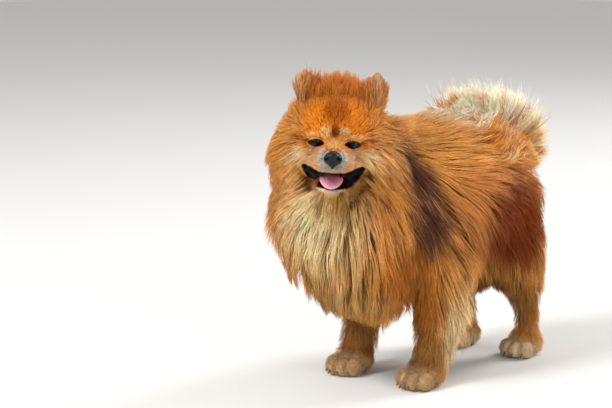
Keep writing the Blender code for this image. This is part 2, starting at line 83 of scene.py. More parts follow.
# %% The frames of the dog and of its head
MM = 0.001
DOG = Matrix.Translation((-0.00087, 0.04447, 0.0))
HEAD = (DOG @ Matrix.Translation((0.010, -0.177, 0.2373)) @ Matrix.Rotation(math.radians(42), 4, "Z")
        @ Matrix.Rotation(math.radians(-7), 4, "X") @ Matrix.Rotation(math.radians(3), 4, "Y"))
rng = np.random.default_rng(7)
print("the head looks along", [round(x, 2) for x in HEAD.to_3x3() @ Vector((0, -1, 0))])

# %% [markdown]
# ## Camera
# The camera stands higher than the dog's back, in front of its left shoulder, and a long lens keeps
# the proportions of the body calm.

# %% Place the camera
lens = bpy.data.cameras.new("camera")
lens.lens, lens.sensor_width = 109.0, 36.0
camera = bpy.data.objects.new("camera", lens)
camera.location = (1.14956, -1.35069, 0.45123)
camera.rotation_euler = (math.radians(80.83), 0.0, math.radians(44.0))
bpy.context.collection.objects.link(camera)
bpy.context.scene.camera = camera
print("the camera is", round(camera.location.length, 2), "m away")

# %% [markdown]
# ## Forms for modelling flesh
# Flesh is built as a sculptor would lay on clay: balls for masses and tapering limbs for what joins
# them. The forms overlap, and a voxel remesh then runs them together into one skin without a seam.

# %% Helpers for balls and limbs
def object_of(name, form):
    """An object from a bmesh, which it frees."""
    mesh = bpy.data.meshes.new(name)
    form.to_mesh(mesh)
    form.free()
    made = bpy.data.objects.new(name, mesh)
    bpy.context.collection.objects.link(made)
    return made


def add_ball(form, centre, radii, frame=DOG, yaw=0.0, tilt=0.0, roll=0.0, depth=0.0, segments=32):
    """A ball of three radii in millimetres, made smaller all round by the coat's depth."""
    place = frame @ Matrix.Translation(Vector(centre) * MM)
    for angle, axis in ((yaw, "Z"), (roll, "Y"), (tilt, "X")):
        place = place @ Matrix.Rotation(math.radians(angle), 4, axis)
    sizes = [(radius - depth) * MM for radius in radii]
    bmesh.ops.create_uvsphere(form, u_segments=segments, v_segments=segments // 2, radius=1.0,
                              matrix=place @ Matrix.Diagonal((*sizes, 1.0)))


def add_limb(form, stations, frame=DOG, depth=0.0, segments=24):
    """A limb through stations of (place, radius) in millimetres, rounded at each station."""
    stations = [(Vector(place) * MM, (radius - depth) * MM) for place, radius in stations]
    for place, radius in stations:
        bmesh.ops.create_uvsphere(form, u_segments=segments, v_segments=segments // 2, radius=radius,
                                  matrix=frame @ Matrix.Translation(place))
    for (start, wide), (end, narrow) in zip(stations, stations[1:]):
        axis = end - start
        turn = axis.to_track_quat("Z", "Y").to_matrix().to_4x4()
        place = frame @ Matrix.Translation((start + end) / 2) @ turn
        bmesh.ops.create_cone(form, cap_ends=True, segments=segments, radius1=wide, radius2=narrow,
                              depth=axis.length, matrix=place)


def add_ball_pair(form, centre, radii, **placing):
    """The same ball on both sides of the frame's middle plane."""
    for side in (1, -1):
        add_ball(form, (centre[0] * side, centre[1], centre[2]), radii, **placing)

# %% Helpers that run forms together and carve them
def apply_modifiers(obj):
    """Makes the object's mesh what its modifiers make of it."""
    graph = bpy.context.evaluated_depsgraph_get()
    mesh = bpy.data.meshes.new_from_object(obj.evaluated_get(graph))
    obj.modifiers.clear()
    obj.data = mesh
    return obj


def run_together(obj, voxel, rounds):
    """Joins overlapping forms into one skin and softens the creases between them."""
    remesh = obj.modifiers.new("run together", "REMESH")
    remesh.mode, remesh.voxel_size = "VOXEL", voxel * MM
    soften = obj.modifiers.new("soften", "SMOOTH")
    soften.factor, soften.iterations = 0.5, rounds
    return apply_modifiers(obj)


def carve(obj, cutter):
    """Takes the cutter's shape out of the object and throws the cutter away."""
    cut = obj.modifiers.new("carve", "BOOLEAN")
    cut.operation, cut.solver, cut.object = "DIFFERENCE", "EXACT", cutter
    apply_modifiers(obj)
    bpy.data.objects.remove(cutter, do_unlink=True)
    return obj

# %% [markdown]
# ## Outline of the coat
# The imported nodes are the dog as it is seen, out to the ends of the hair. They are parted by hair-thin
# cuts. Swollen by six tenths of a millimetre and remeshed, copies of them close into one outline. Later
# it says how deep the coat is at any place and where each tuft has to end.

# %% Join the flesh nodes into one outline
FLESH = [name for name in frame["nodes"]
         if not name.startswith(("eye", "claw", "nose", "tongue"))]
form = bmesh.new()
for name in FLESH:
    form.from_mesh(frame["nodes"][name].data)
bmesh.ops.remove_doubles(form, verts=form.verts, dist=1e-6)
outline = object_of("outline", form)
swell = outline.modifiers.new("swell", "DISPLACE")
swell.strength, swell.mid_level = 0.6 * MM, 0.0
apply_modifiers(outline)
run_together(outline, 2.5, 2)
outline_tree = BVHTree.FromPolygons([v.co.copy() for v in outline.data.vertices],
                                    [tuple(p.vertices) for p in outline.data.polygons])
print("outline:", len(outline.data.polygons), "faces from", len(FLESH), "nodes")

# %% [markdown]
# ## Head
# Under short hair the head shows every plane of the skull, so it is the finest piece of the skin. A
# foxlike wedge is set on a round skull: brow, cheek and muzzle are separate masses, and the upper lip hangs
# in two soft flews on either side of the nose.

# %% Lay on the masses of the head
EYE = Vector((16.8, 8.8, 0.0))       # the middle of the left eyeball
EYE_RADIUS = 8.5

form = bmesh.new()
add_ball(form, (0, 46, 4), (56, 46, 46), frame=HEAD, depth=9.0)
add_ball(form, (0, 44, 30), (41, 30, 30), frame=HEAD, depth=9.0)
add_ball_pair(form, (34, 36, -14), (28, 26, 38), frame=HEAD, depth=9.0)
add_ball(form, (0, 32, -55), (36, 30, 22), frame=HEAD, depth=8.0)
add_ball(form, (0, 20, 16), (34, 22, 30), frame=HEAD, depth=2.0)
add_ball_pair(form, (22, 20, -12), (20, 19, 22), frame=HEAD, depth=2.0)
add_ball_pair(form, (11.5, 9, 10.5), (10, 9.5, 6.5), frame=HEAD, depth=1.0)
add_ball_pair(form, tuple(EYE), (11.5, 10.2, 9.8), frame=HEAD, depth=0.7)
add_limb(form, [((0, 12, -9), 18.5), ((0, -12, -13.0), 14.5), ((0, -22, -14.8), 11.5)],
         frame=HEAD, depth=1.1)
add_ball_pair(form, (7.5, -18, -20), (9.8, 12.5, 8.0), frame=HEAD, depth=0.9)
add_ball_pair(form, (16.5, 2, -24), (10.5, 14, 10.5), frame=HEAD, depth=1.1)
add_limb(form, [((0, 34, -44), 20), ((0, 10, -44.5), 15), ((0, -5, -45), 8.5)], frame=HEAD, depth=1.4)
head = run_together(object_of("head form", form), 1.0, 4)
print("head form:", len(head.data.polygons), "faces")

# %% [markdown]
# The mouth hangs open in a smile. A band follows the lips from one corner to the other, cut clear to the
# front, with a hollow for the tongue behind it. The same form is later carved from the body too, whose
# chest reaches up behind the chin. The band is kept as numbers, because the lips are coloured by how near
# the skin lies to it.

# %% Carve the mouth
SMILE = [((0, -12, -34.0), 6.7), ((12.5, -8, -33.0), 6.4), ((18, -2, -29.2), 4.9),
         ((23.5, 4, -24.6), 3.2), ((27, 8, -20.9), 1.2)]


def mouth_form():
    """The shape of the open mouth, to be carved out."""
    form = bmesh.new()
    for side in (1, -1):
        for forward in (0, 6, 12, 18):
            add_limb(form, [((x * side, y - forward, z), r) for (x, y, z), r in SMILE], frame=HEAD)
    add_ball(form, (0, 4, -34.2), (15, 20, 6.4), frame=HEAD)
    return run_together(object_of("mouth form", form), 1.0, 3)


carve(head, mouth_form())

# %% [markdown]
# The opening between the lids is an almond: what two wide cylinders share when one stands a little
# above the other. The eyeball later fills the opening from behind, so the carved wall is the lid's edge.

# %% Carve the openings between the lids
LID_HALF_LENGTH, LID_UP, LID_DOWN = 7.0, 2.6, 3.5
ALMOND_DEPTH = 12.0


def bow_of(height):
    """The radius of an arc that spans the lids and rises to the given height."""
    return (LID_HALF_LENGTH ** 2 + height ** 2) / (2 * height)


def almond_form(side):
    """The almond between the lids of one eye, to be carved out."""
    halves = []
    for updown, height in ((1, LID_DOWN), (-1, LID_UP)):
        form = bmesh.new()
        bow = bow_of(height)
        centre = Vector((EYE.x * side, EYE.y - 8.0, updown * (bow - height))) * MM
        place = HEAD @ Matrix.Translation(centre) @ Matrix.Rotation(math.radians(90), 4, "X")
        bmesh.ops.create_cone(form, cap_ends=True, segments=96, radius1=bow * MM, radius2=bow * MM,
                              depth=ALMOND_DEPTH * MM, matrix=place)
        halves.append(object_of("almond half", form))
    share = halves[0].modifiers.new("share", "BOOLEAN")
    share.operation, share.solver, share.object = "INTERSECT", "EXACT", halves[1]
    apply_modifiers(halves[0])
    bpy.data.objects.remove(halves[1], do_unlink=True)
    return halves[0]


for side in (1, -1):
    carve(head, almond_form(side))
print("head with mouth and lids:", len(head.data.polygons), "faces")

# %% [markdown]
# ## Ears
# A Pomeranian's ears are small upright leaves, almost lost in the hair. Each is a flattened ball that
# narrows to its tip, hollowed with a slimmer leaf on the side that faces forward.

# %% Shape the ears
def ear_leaf(side, radii, shift):
    """A leaf of the given radii, standing on the head and moved forward by the shift."""
    out = 35.0 if side > 0 else -29.5
    base, tip = Vector((out, 26, 45)) * MM, Vector((out + 1.0 * side, 28, 67)) * MM
    form = bmesh.new()
    bmesh.ops.create_uvsphere(form, u_segments=48, v_segments=32, radius=1.0,
                              matrix=Matrix.Diagonal((*(r * MM for r in radii), 1.0)))
    for vert in form.verts:
        vert.co.x *= 1.0 - 0.22 * vert.co.z / (radii[2] * MM)
        vert.co.y += shift * MM
    lean = (tip - base).to_track_quat("Z", "Y").to_matrix().to_4x4()
    form.transform(HEAD @ Matrix.Translation(base) @ lean
                   @ Matrix.Rotation(math.radians(180 - 12 * side), 4, "Z"))
    return object_of("ear", form)


ears = [carve(ear_leaf(side, (7.6, 3.4, 19.0), 0.0), ear_leaf(side, (5.6, 3.6, 15.0), -4.2))
        for side in (1, -1)]
print("ears:", sum(len(ear.data.polygons) for ear in ears), "faces")

# %% [markdown]
# ## Body under the coat
# Shorn of its coat a Pomeranian is slight: a small chest, a tucked belly, thin legs and a thin tail that
# lies curled over the back. Each mass below is the mass of the outline less the depth of the hair on it.
# The paws are remeshed more finely than the body, so that their toes stay apart.

# %% Shape the paws
FEET = {"fore_left": (43, -87), "fore_right": (-43, -93), "hind_left": (34, 80), "hind_right": (-40, 72)}
FORE_PAW, HIND_PAW = (26.0, 19.5), (24.0, 18.0)      # half lengths and half widths


def toes_of(foot, paw):
    """The middles of the four toes, from the inner to the outer one."""
    return [(foot[0] + paw[1] * spread, foot[1] - paw[0] * reach, 8.5)
            for spread, reach in ((-0.70, 0.50), (-0.25, 0.74), (0.25, 0.74), (0.70, 0.50))]


def add_paw(form, foot, paw):
    """The pad and four toes of a paw."""
    add_ball(form, (foot[0], foot[1] + 4, 12.0), (paw[1] * 0.86, paw[0] * 0.74, 12.0))
    add_ball(form, (foot[0], foot[1] + 3, 17.0), (paw[1] * 0.70, paw[0] * 0.52, 10.5))
    for toe in toes_of(foot, paw):
        add_ball(form, toe, (paw[1] * 0.285, paw[0] * 0.36, 8.6))


form = bmesh.new()
for name, foot in FEET.items():
    add_paw(form, foot, FORE_PAW if name.startswith("fore") else HIND_PAW)
paws = run_together(object_of("paw form", form), 1.0, 2)
print("paws:", len(paws.data.polygons), "faces")

# %% Lay on the masses of the body
TAIL = [((0, 84, 188), 17), ((0, 88, 212), 16), ((0, 70, 230), 16), ((2, 42, 237), 15),
        ((4, 16, 240), 11)]

form = bmesh.new()
add_ball(form, (0, -18, 169), (78, 98, 88), depth=15)
add_ball(form, (0, 44, 162), (70, 58, 78), depth=15)
add_ball(form, (0, 12, 116), (54, 78, 50), depth=15)
add_ball_pair(form, (44, -60, 150), (34, 44, 72), depth=13)
add_ball_pair(form, (40, 50, 122), (30, 38, 56), depth=10)
add_ball(form, (0, -78, 190), (64, 66, 66), depth=15)
add_ball(form, (-9, -136, 196), (74, 48, 60), yaw=38, depth=16)
add_ball(form, (-6, -138, 162), (79, 56, 62), yaw=38, depth=17)
add_ball(form, (-4, -126, 118), (56, 48, 54), yaw=34, depth=16)
add_ball(form, (4, -112, 96), (36, 36, 42), yaw=30, depth=15)
for side, out in (("left", 1), ("right", -1)):
    x, y = FEET["fore_" + side]
    add_limb(form, [((x, y + 6, 22), 13.2), ((x + out, y + 12, 50), 14.0), ((x - out, y + 18, 82), 19.5),
                    ((x - 2 * out, y + 26, 118), 26)])
    x, y = FEET["hind_" + side]
    add_limb(form, [((x, y + 5, 14), 10.0), ((x + out, y + 3, 46), 9.6), ((x + 3 * out, y - 10, 74), 14.5),
                    ((x + 5 * out, y - 24, 105), 23)])
add_limb(form, TAIL)
add_ball(form, (0, 42, 235), (25, 34, 15))
add_ball(form, (0, 80, 214), (25, 20, 25))
body = carve(run_together(object_of("body form", form), 3.0, 6), mouth_form())
print("body form:", len(body.data.polygons), "faces")

# %% [markdown]
# One more remesh runs the parts together, so no seam shows where the head meets the neck or a leg the
# body. The soles are then cut off flat at the floor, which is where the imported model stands.

# %% Join head, ears and body into one skin
SOLE_CUT = 0.1 * MM
form = bmesh.new()
for piece in (head, body, paws, *ears):
    form.from_mesh(piece.data)
    bpy.data.objects.remove(piece, do_unlink=True)
skin = run_together(object_of("skin", form), 1.0, 2)
thin = skin.modifiers.new("thin out", "DECIMATE")
thin.ratio = 0.26
apply_modifiers(skin)
form = bmesh.new()
form.from_mesh(skin.data)
bmesh.ops.bisect_plane(form, geom=form.verts[:] + form.edges[:] + form.faces[:],
                       plane_co=(0, 0, SOLE_CUT), plane_no=(0, 0, 1), clear_inner=True)
bmesh.ops.holes_fill(form, edges=[e for e in form.edges if e.is_boundary], sides=0)
bmesh.ops.triangulate(form, faces=form.faces[:])
bmesh.ops.translate(form, verts=[v for v in form.verts if v.co.z < 1.5 * SOLE_CUT], vec=(0, 0, -SOLE_CUT))
bmesh.ops.recalc_face_normals(form, faces=form.faces[:])
form.to_mesh(skin.data)
form.free()
skin.data.shade_smooth()
print("skin:", len(skin.data.polygons), "triangles")

# %% [markdown]
# ## Markings
# Skin and coat share one set of markings, so a gap between two tufts never shows a wrong colour. Each
# marking is a soft-edged ball of colour. They are laid one over another, like glazes, and a place takes
# its colour from the last ones that cover it. Their places and colours were chosen, guided by
# readings at named places of the photograph, and corrected by comparing the picture with it.

# %% Mix the colours of the coat
GOLD, ORANGE, RUST = (0.80, 0.37, 0.085), (0.74, 0.26, 0.034), (0.56, 0.165, 0.022)
BROWN, UMBER = (0.17, 0.060, 0.034), (0.050, 0.020, 0.014)
SAND, CREAM = (0.90, 0.59, 0.26), (0.93, 0.72, 0.40)
IVORY, GREY = (1.0, 0.91, 0.69), (0.61, 0.64, 0.61)
STRIPE_DARK, STRIPE_TAN = (0.115, 0.038, 0.026), (0.50, 0.25, 0.10)

MARKINGS = [
    # of the body: frame, on both sides, middle, radii, colour, strength
    (DOG, 1, (66, -10, 160), (46, 100, 54), (0.66, 0.245, 0.060), 0.85),
    (DOG, 1, (80, 22, 142), (44, 56, 56), (0.25, 0.032, 0.0), 0.93),
    (DOG, 0, (0, 116, 146), (78, 26, 60), GOLD, 0.75),
    # painted shade under the body: the belly is painted dark
    (DOG, 0, (0, 4, 76), (66, 86, 27), (0.13, 0.032, 0.005), 0.90),
    (DOG, 0, (0, -50, 252), (60, 80, 30), (0.72, 0.31, 0.065), 0.6),
    (DOG, 0, (0, -150, 190), (96, 66, 90), (0.74, 0.30, 0.070), 0.85),
    (DOG, 0, (12, -200, 152), (58, 50, 68), SAND, 0.94),
    (DOG, 0, (5, -212, 162), (36, 40, 48), (0.99, 0.77, 0.43), 0.92),
    (DOG, 0, (18, -172, 84), (56, 48, 26), (0.58, 0.32, 0.10), 0.85),
    (DOG, 1, (46, -115, 110), (34, 34, 30), RUST, 0.8),
    (DOG, 1, (42, -92, 72), (26, 30, 30), (0.50, 0.17, 0.020), 0.9),
    (DOG, 1, (42, -88, 36), (26, 30, 26), (0.35, 0.15, 0.038), 0.85),
    (DOG, 1, (60, -56, 54), (21, 23, 50), CREAM, 0.95),
    (DOG, 1, (38, 70, 56), (26, 34, 30), (0.36, 0.16, 0.040), 0.85),
    (DOG, 1, (40, 90, 66), (26, 16, 40), ORANGE, 0.7),
    # the fore paws: cream, darkened as painted shade
    (DOG, 1, (43, -104, 7), (30, 30, 15), (0.54, 0.37, 0.20), 0.88),
    (DOG, 1, (38, 62, 6), (28, 32, 14), (0.86, 0.69, 0.44), 0.90),
    # of the head
    (HEAD, 0, (0, 22, 12), (50, 44, 52), ORANGE, 0.95),
    (HEAD, 0, (0, 8, 20), (34, 20, 22), (0.95, 0.31, 0.016), 0.86),
    (HEAD, 0, (54, 22, -6), (20, 26, 26), (0.88, 0.50, 0.20), 0.55),
    (HEAD, 0, (0, 36, 55), (52, 46, 19), (0.52, 0.145, 0.014), 0.85),
    (HEAD, 0, (0, 3, 30), (13, 18, 12), (0.36, 0.052, 0.001), 0.66),
    (HEAD, 1, (46, 20, 12), (18, 22, 22), GOLD, 0.7),
    (HEAD, 1, (32, 10, -26), (15, 20, 16), (0.78, 0.42, 0.12), 0.8),
    (HEAD, 1, (35, 4, -12), (10, 16, 8.5), (0.97, 0.72, 0.38), 0.90),
    (HEAD, 1, (20, 1, -10), (9, 10, 5), (0.88, 0.55, 0.25), 0.8),
    (HEAD, 1, (8.8, -1, 10.0), (5.0, 8, 6.4), (0.92, 0.60, 0.25), 0.88),
    (HEAD, 1, (19, 3, 7.0), (9.5, 8, 2.8), (0.92, 0.56, 0.20), 0.72),
    (HEAD, 0, (0, -1, 9), (3.8, 9, 9.5), (0.17, 0.034, 0.005), 0.8),
    (HEAD, 0, (0, -16, -2), (6.5, 13, 7), (0.76, 0.43, 0.18), 0.8),
    (HEAD, 1, (16, -8, -16), (9, 15, 8), (0.76, 0.48, 0.28), 0.85),
    (HEAD, 1, (8.6, -27, -13.5), (6.0, 12, 8.5), GREY, 0.90),
    (HEAD, 0, (0, -26, -23), (13, 10, 4.4), (0.52, 0.45, 0.36), 0.85),
    (HEAD, 0, (0, -6, -49), (20, 16, 6), (0.46, 0.22, 0.04), 0.85),
    (HEAD, 0, (0, -14, -43), (10.5, 12, 2.4), (0.40, 0.37, 0.31), 0.85),
    # painted shade under the chin: this is painted darker than the orange around it
    (HEAD, 0, (5, -3, -58), (22, 20, 11), (0.38, 0.17, 0.012), 0.85),
    (HEAD, 1, (26.0, 4.5, 1.6), (4.5, 7, 1.2), UMBER, 0.85),
    (HEAD, 1, (34, 9, 4.2), (8, 9, 1.7), (0.24, 0.075, 0.016), 0.75),
    (HEAD, 1, (17, 0, -5.4), (7.5, 8, 1.5), (0.64, 0.30, 0.15), 0.7),
    (HEAD, 1, (9.0, -2, -2), (2.6, 6, 3), BROWN, 0.75),
    # inside the ears: pale hair, darkened as painted shade in the hollow
    (HEAD, 1, (34, 20, 59), (6.5, 7, 11), (0.60, 0.44, 0.27), 0.9),
    (HEAD, 1, (45, 27, 57), (4, 12, 16), BROWN, 0.8),
    (HEAD, 1, (36, 18, 42), (11, 8, 7), (0.34, 0.20, 0.11), 0.75),
    # of the plume
    (DOG, 0, (0, 54, 258), (72, 92, 32), IVORY, 0.97),
    (DOG, 0, (0, 114, 214), (70, 34, 46), CREAM, 0.88),
]

# a dark band with a few paler streaks falls from the nape over each shoulder
STRIPE = [((34, -115, 250), 7), ((46, -112, 232), 11), ((53, -108, 206), 16), ((61, -105, 180), 20),
          ((65, -103, 157), 22), ((62, -105, 135), 12)]
print("markings:", len(MARKINGS), "and the band")

# %% Look up the markings at a place
def smooth_step(low, high, values):
    """A share that eases from 0 at the low value to 1 at the high one."""
    share = np.clip((values - low) / (high - low), 0.0, 1.0)
    return share * share * (3.0 - 2.0 * share)


def in_frame(points, frame):
    """World places as millimetres in a frame."""
    turn = np.array(frame.inverted())
    return (points @ turn[:3, :3].T + turn[:3, 3]) / MM


def marking_at(points):
    """The colour of the coat at each place."""
    colour = np.tile(np.array(GOLD), (len(points), 1))
    local = {id(frame): in_frame(points, frame) for frame in (DOG, HEAD)}
    for frame, pair, centre, radii, paint, strength in MARKINGS:
        place = local[id(frame)].copy()
        if pair:
            place[:, 0] = np.abs(place[:, 0])
        away = np.linalg.norm((place - centre) / np.array(radii), axis=1)
        share = strength * (1.0 - smooth_step(0.65, 1.25, away))[:, None]
        colour = colour * (1.0 - share) + np.array(paint) * share
    return colour

# %% [markdown]
# Lips, lid edges and the tip of the muzzle are bare. How near a place is to the smile and to the almond
# of the lids is worked out once here, and serves both to colour the skin and to keep hair off it.

# %% Find the bare places of the face
def off_limb(place, stations):
    """The distance in millimetres from each place to the side of a tapering limb."""
    best = np.full(len(place), 1e9)
    for (start, wide), (end, narrow) in zip(stations, stations[1:]):
        start, end = np.array(start, float), np.array(end, float)
        axis = end - start
        share = np.clip(((place - start) @ axis) / (axis @ axis), 0.0, 1.0)
        gap = np.linalg.norm(place - start - share[:, None] * axis, axis=1)
        best = np.minimum(best, gap - (wide + (narrow - wide) * share))
    return best


def off_mouth(points):
    """How far above or below the band of the lips a place lies, seen from the front."""
    place = in_frame(points, HEAD)
    seen = np.column_stack([np.abs(place[:, 0]), np.zeros(len(place)), place[:, 2]])
    off = off_limb(seen, [((x, 0, z), r) for (x, y, z), r in SMILE])
    return np.where(place[:, 1] < 20, off, 50.0)


def off_lids(points):
    """How far outside the almond of the nearer eye a place lies, in millimetres."""
    place = in_frame(points, HEAD)
    across, up = np.abs(place[:, 0]) - EYE.x, place[:, 2]
    upper, lower = bow_of(LID_UP), bow_of(LID_DOWN)
    off = np.maximum(np.hypot(across, up + upper - LID_UP) - upper,
                     np.hypot(across, up - lower + LID_DOWN) - lower)
    return np.where(place[:, 1] < 16, off, 50.0)


NOSE = Vector((0.0, -32.5, -12.5))
NOSE_BED = np.array((8.6, 8.0, 6.6))


def off_nose(points):
    """Roughly how far outside the bed of the nose leather a place lies, in millimetres."""
    place = in_frame(points, HEAD)
    return (np.linalg.norm((place - tuple(NOSE)) / NOSE_BED, axis=1) - 1.0) * 7.0

# %% Paint the skin
def set_colours(mesh, colours):
    """Stores one colour for each vertex, where the finishes read it."""
    layer = mesh.color_attributes.new("coat colour", "FLOAT_COLOR", "POINT")
    with_alpha = np.column_stack([colours, np.ones(len(colours))])
    layer.data.foreach_set("color", with_alpha.astype(np.float32).ravel())


def places_of(mesh):
    """The places of all vertices, as rows of numbers in metres."""
    flat = np.empty(len(mesh.vertices) * 3, np.float32)
    mesh.vertices.foreach_get("co", flat)
    return flat.reshape(-1, 3).astype(float)


def blend_in(colours, paint, share):
    """The colours with a share of paint laid over each."""
    return colours * (1.0 - share[:, None]) + np.array(paint) * share[:, None]


# painted shade: the skin shows only in the gaps between tufts, so it is painted a little darker than the
# hair over it, for the shade down in the coat
SKIN_SHADE_IN_COAT = 0.80        # the skin is a little darker than the hair over it
points = places_of(skin.data)
colours = marking_at(points) * SKIN_SHADE_IN_COAT
on_body = in_frame(points, DOG)
on_body[:, 0] = np.abs(on_body[:, 0])
in_stripe = 1.0 - smooth_step(-6.0, 7.0, off_limb(on_body, STRIPE))
colours = blend_in(colours, STRIPE_DARK, 0.9 * in_stripe)
at_face = in_frame(points, HEAD)
lips = 1.0 - smooth_step(0.8, 2.2, off_mouth(points))
rims = 1.0 - smooth_step(0.5, 1.7, off_lids(points))
beds = 1.0 - smooth_step(0.5, 1.6, off_nose(points))
colours = blend_in(colours, (0.004, 0.003, 0.003), np.maximum(lips, beds))
colours = blend_in(colours, (0.020, 0.010, 0.009), rims)
pink = (1.0 - smooth_step(0.9, 2.4, off_lids(points))) * smooth_step(-1.6, -3.4, at_face[:, 2])
colours = blend_in(colours, (0.36, 0.15, 0.11), pink * 0.75)
# the inside of the mouth: the lining's own dark red, laid on more fully towards the back as painted shade in
# the hollow
mouth_lining_and_shade = (1.0 - smooth_step(-2.0, 0.0, off_mouth(points))) * smooth_step(-12, 0, at_face[:, 1])
mouth_lining_and_shade *= 1.0 - smooth_step(8, 14, np.abs(at_face[:, 0]))
colours = blend_in(colours, (0.10, 0.012, 0.014), mouth_lining_and_shade * 0.8)
soles = 1.0 - smooth_step(0.0006, 0.0016, points[:, 2])
colours = blend_in(colours, (0.035, 0.026, 0.024), soles)
set_colours(skin.data, colours)
wet = skin.data.attributes.new("wet", "FLOAT", "POINT")
wet.data.foreach_set("value", np.maximum.reduce([lips, rims, beds]).astype(np.float32))
print("painted", len(points), "places of the skin")

# %% [markdown]
# ## Finishes of skin and hair
# Hair shines along its length and looks soft because each strand differs a little from the next. Both
# finishes take their colour from the painted markings and break it up with fine noise. On the skin a
# fine bump stands for the short hair that lies flat; wet lips and lid edges are smoother.

# %% Helpers for finishes
def new_finish(name):
    """A new material, its nodes and links, and its shader."""
    made = bpy.data.materials.new(name)
    made.use_nodes = True
    nodes, links = made.node_tree.nodes, made.node_tree.links
    return made, nodes, links, nodes["Principled BSDF"]


def painted_colour(nodes, links, shader, scale, strength):
    """The painted colour, broken up with noise of the given scale."""
    paint = nodes.new("ShaderNodeAttribute")
    paint.attribute_name = "coat colour"
    where = nodes.new("ShaderNodeTexCoord")
    noise = nodes.new("ShaderNodeTexNoise")
    noise.inputs["Scale"].default_value = scale
    noise.inputs["Detail"].default_value = 4.0
    links.new(where.outputs["Object"], noise.inputs["Vector"])
    spread = nodes.new("ShaderNodeMapRange")
    for socket, value in (("From Min", 0.3), ("From Max", 0.7),
                          ("To Min", 1 - strength), ("To Max", 1 + strength)):
        spread.inputs[socket].default_value = value
    links.new(noise.outputs["Fac"], spread.inputs["Value"])
    mix = nodes.new("ShaderNodeVectorMath")
    mix.operation = "SCALE"
    links.new(paint.outputs["Color"], mix.inputs[0])
    links.new(spread.outputs["Result"], mix.inputs["Scale"])
    links.new(mix.outputs["Vector"], shader.inputs["Base Color"])
    return noise


def raise_bump(nodes, links, shader, height, strength, distance):
    """A bump that follows a texture's output."""
    bump = nodes.new("ShaderNodeBump")
    bump.inputs["Strength"].default_value, bump.inputs["Distance"].default_value = strength, distance
    links.new(height, bump.inputs["Height"])
    links.new(bump.outputs["Normal"], shader.inputs["Normal"])
    return bump

# %% Make the skin's and the coat's finish
skin_finish, nodes, links, shader = new_finish("skin and short hair")
noise = painted_colour(nodes, links, shader, 700.0, 0.22)
wetness = nodes.new("ShaderNodeAttribute")
wetness.attribute_name = "wet"
dry = nodes.new("ShaderNodeMapRange")
dry.inputs["To Min"].default_value, dry.inputs["To Max"].default_value = 0.80, 0.50
links.new(wetness.outputs["Fac"], dry.inputs["Value"])
links.new(dry.outputs["Result"], shader.inputs["Roughness"])
raise_bump(nodes, links, shader, noise.outputs["Fac"], 0.5, 0.0006)
shader.inputs["Specular IOR Level"].default_value = 0.10
skin.data.materials.append(skin_finish)

coat_finish, nodes, links, shader = new_finish("coat")
painted_colour(nodes, links, shader, 420.0, 0.12)
shader.inputs["Roughness"].default_value = 0.50
shader.inputs["Specular IOR Level"].default_value = 0.14
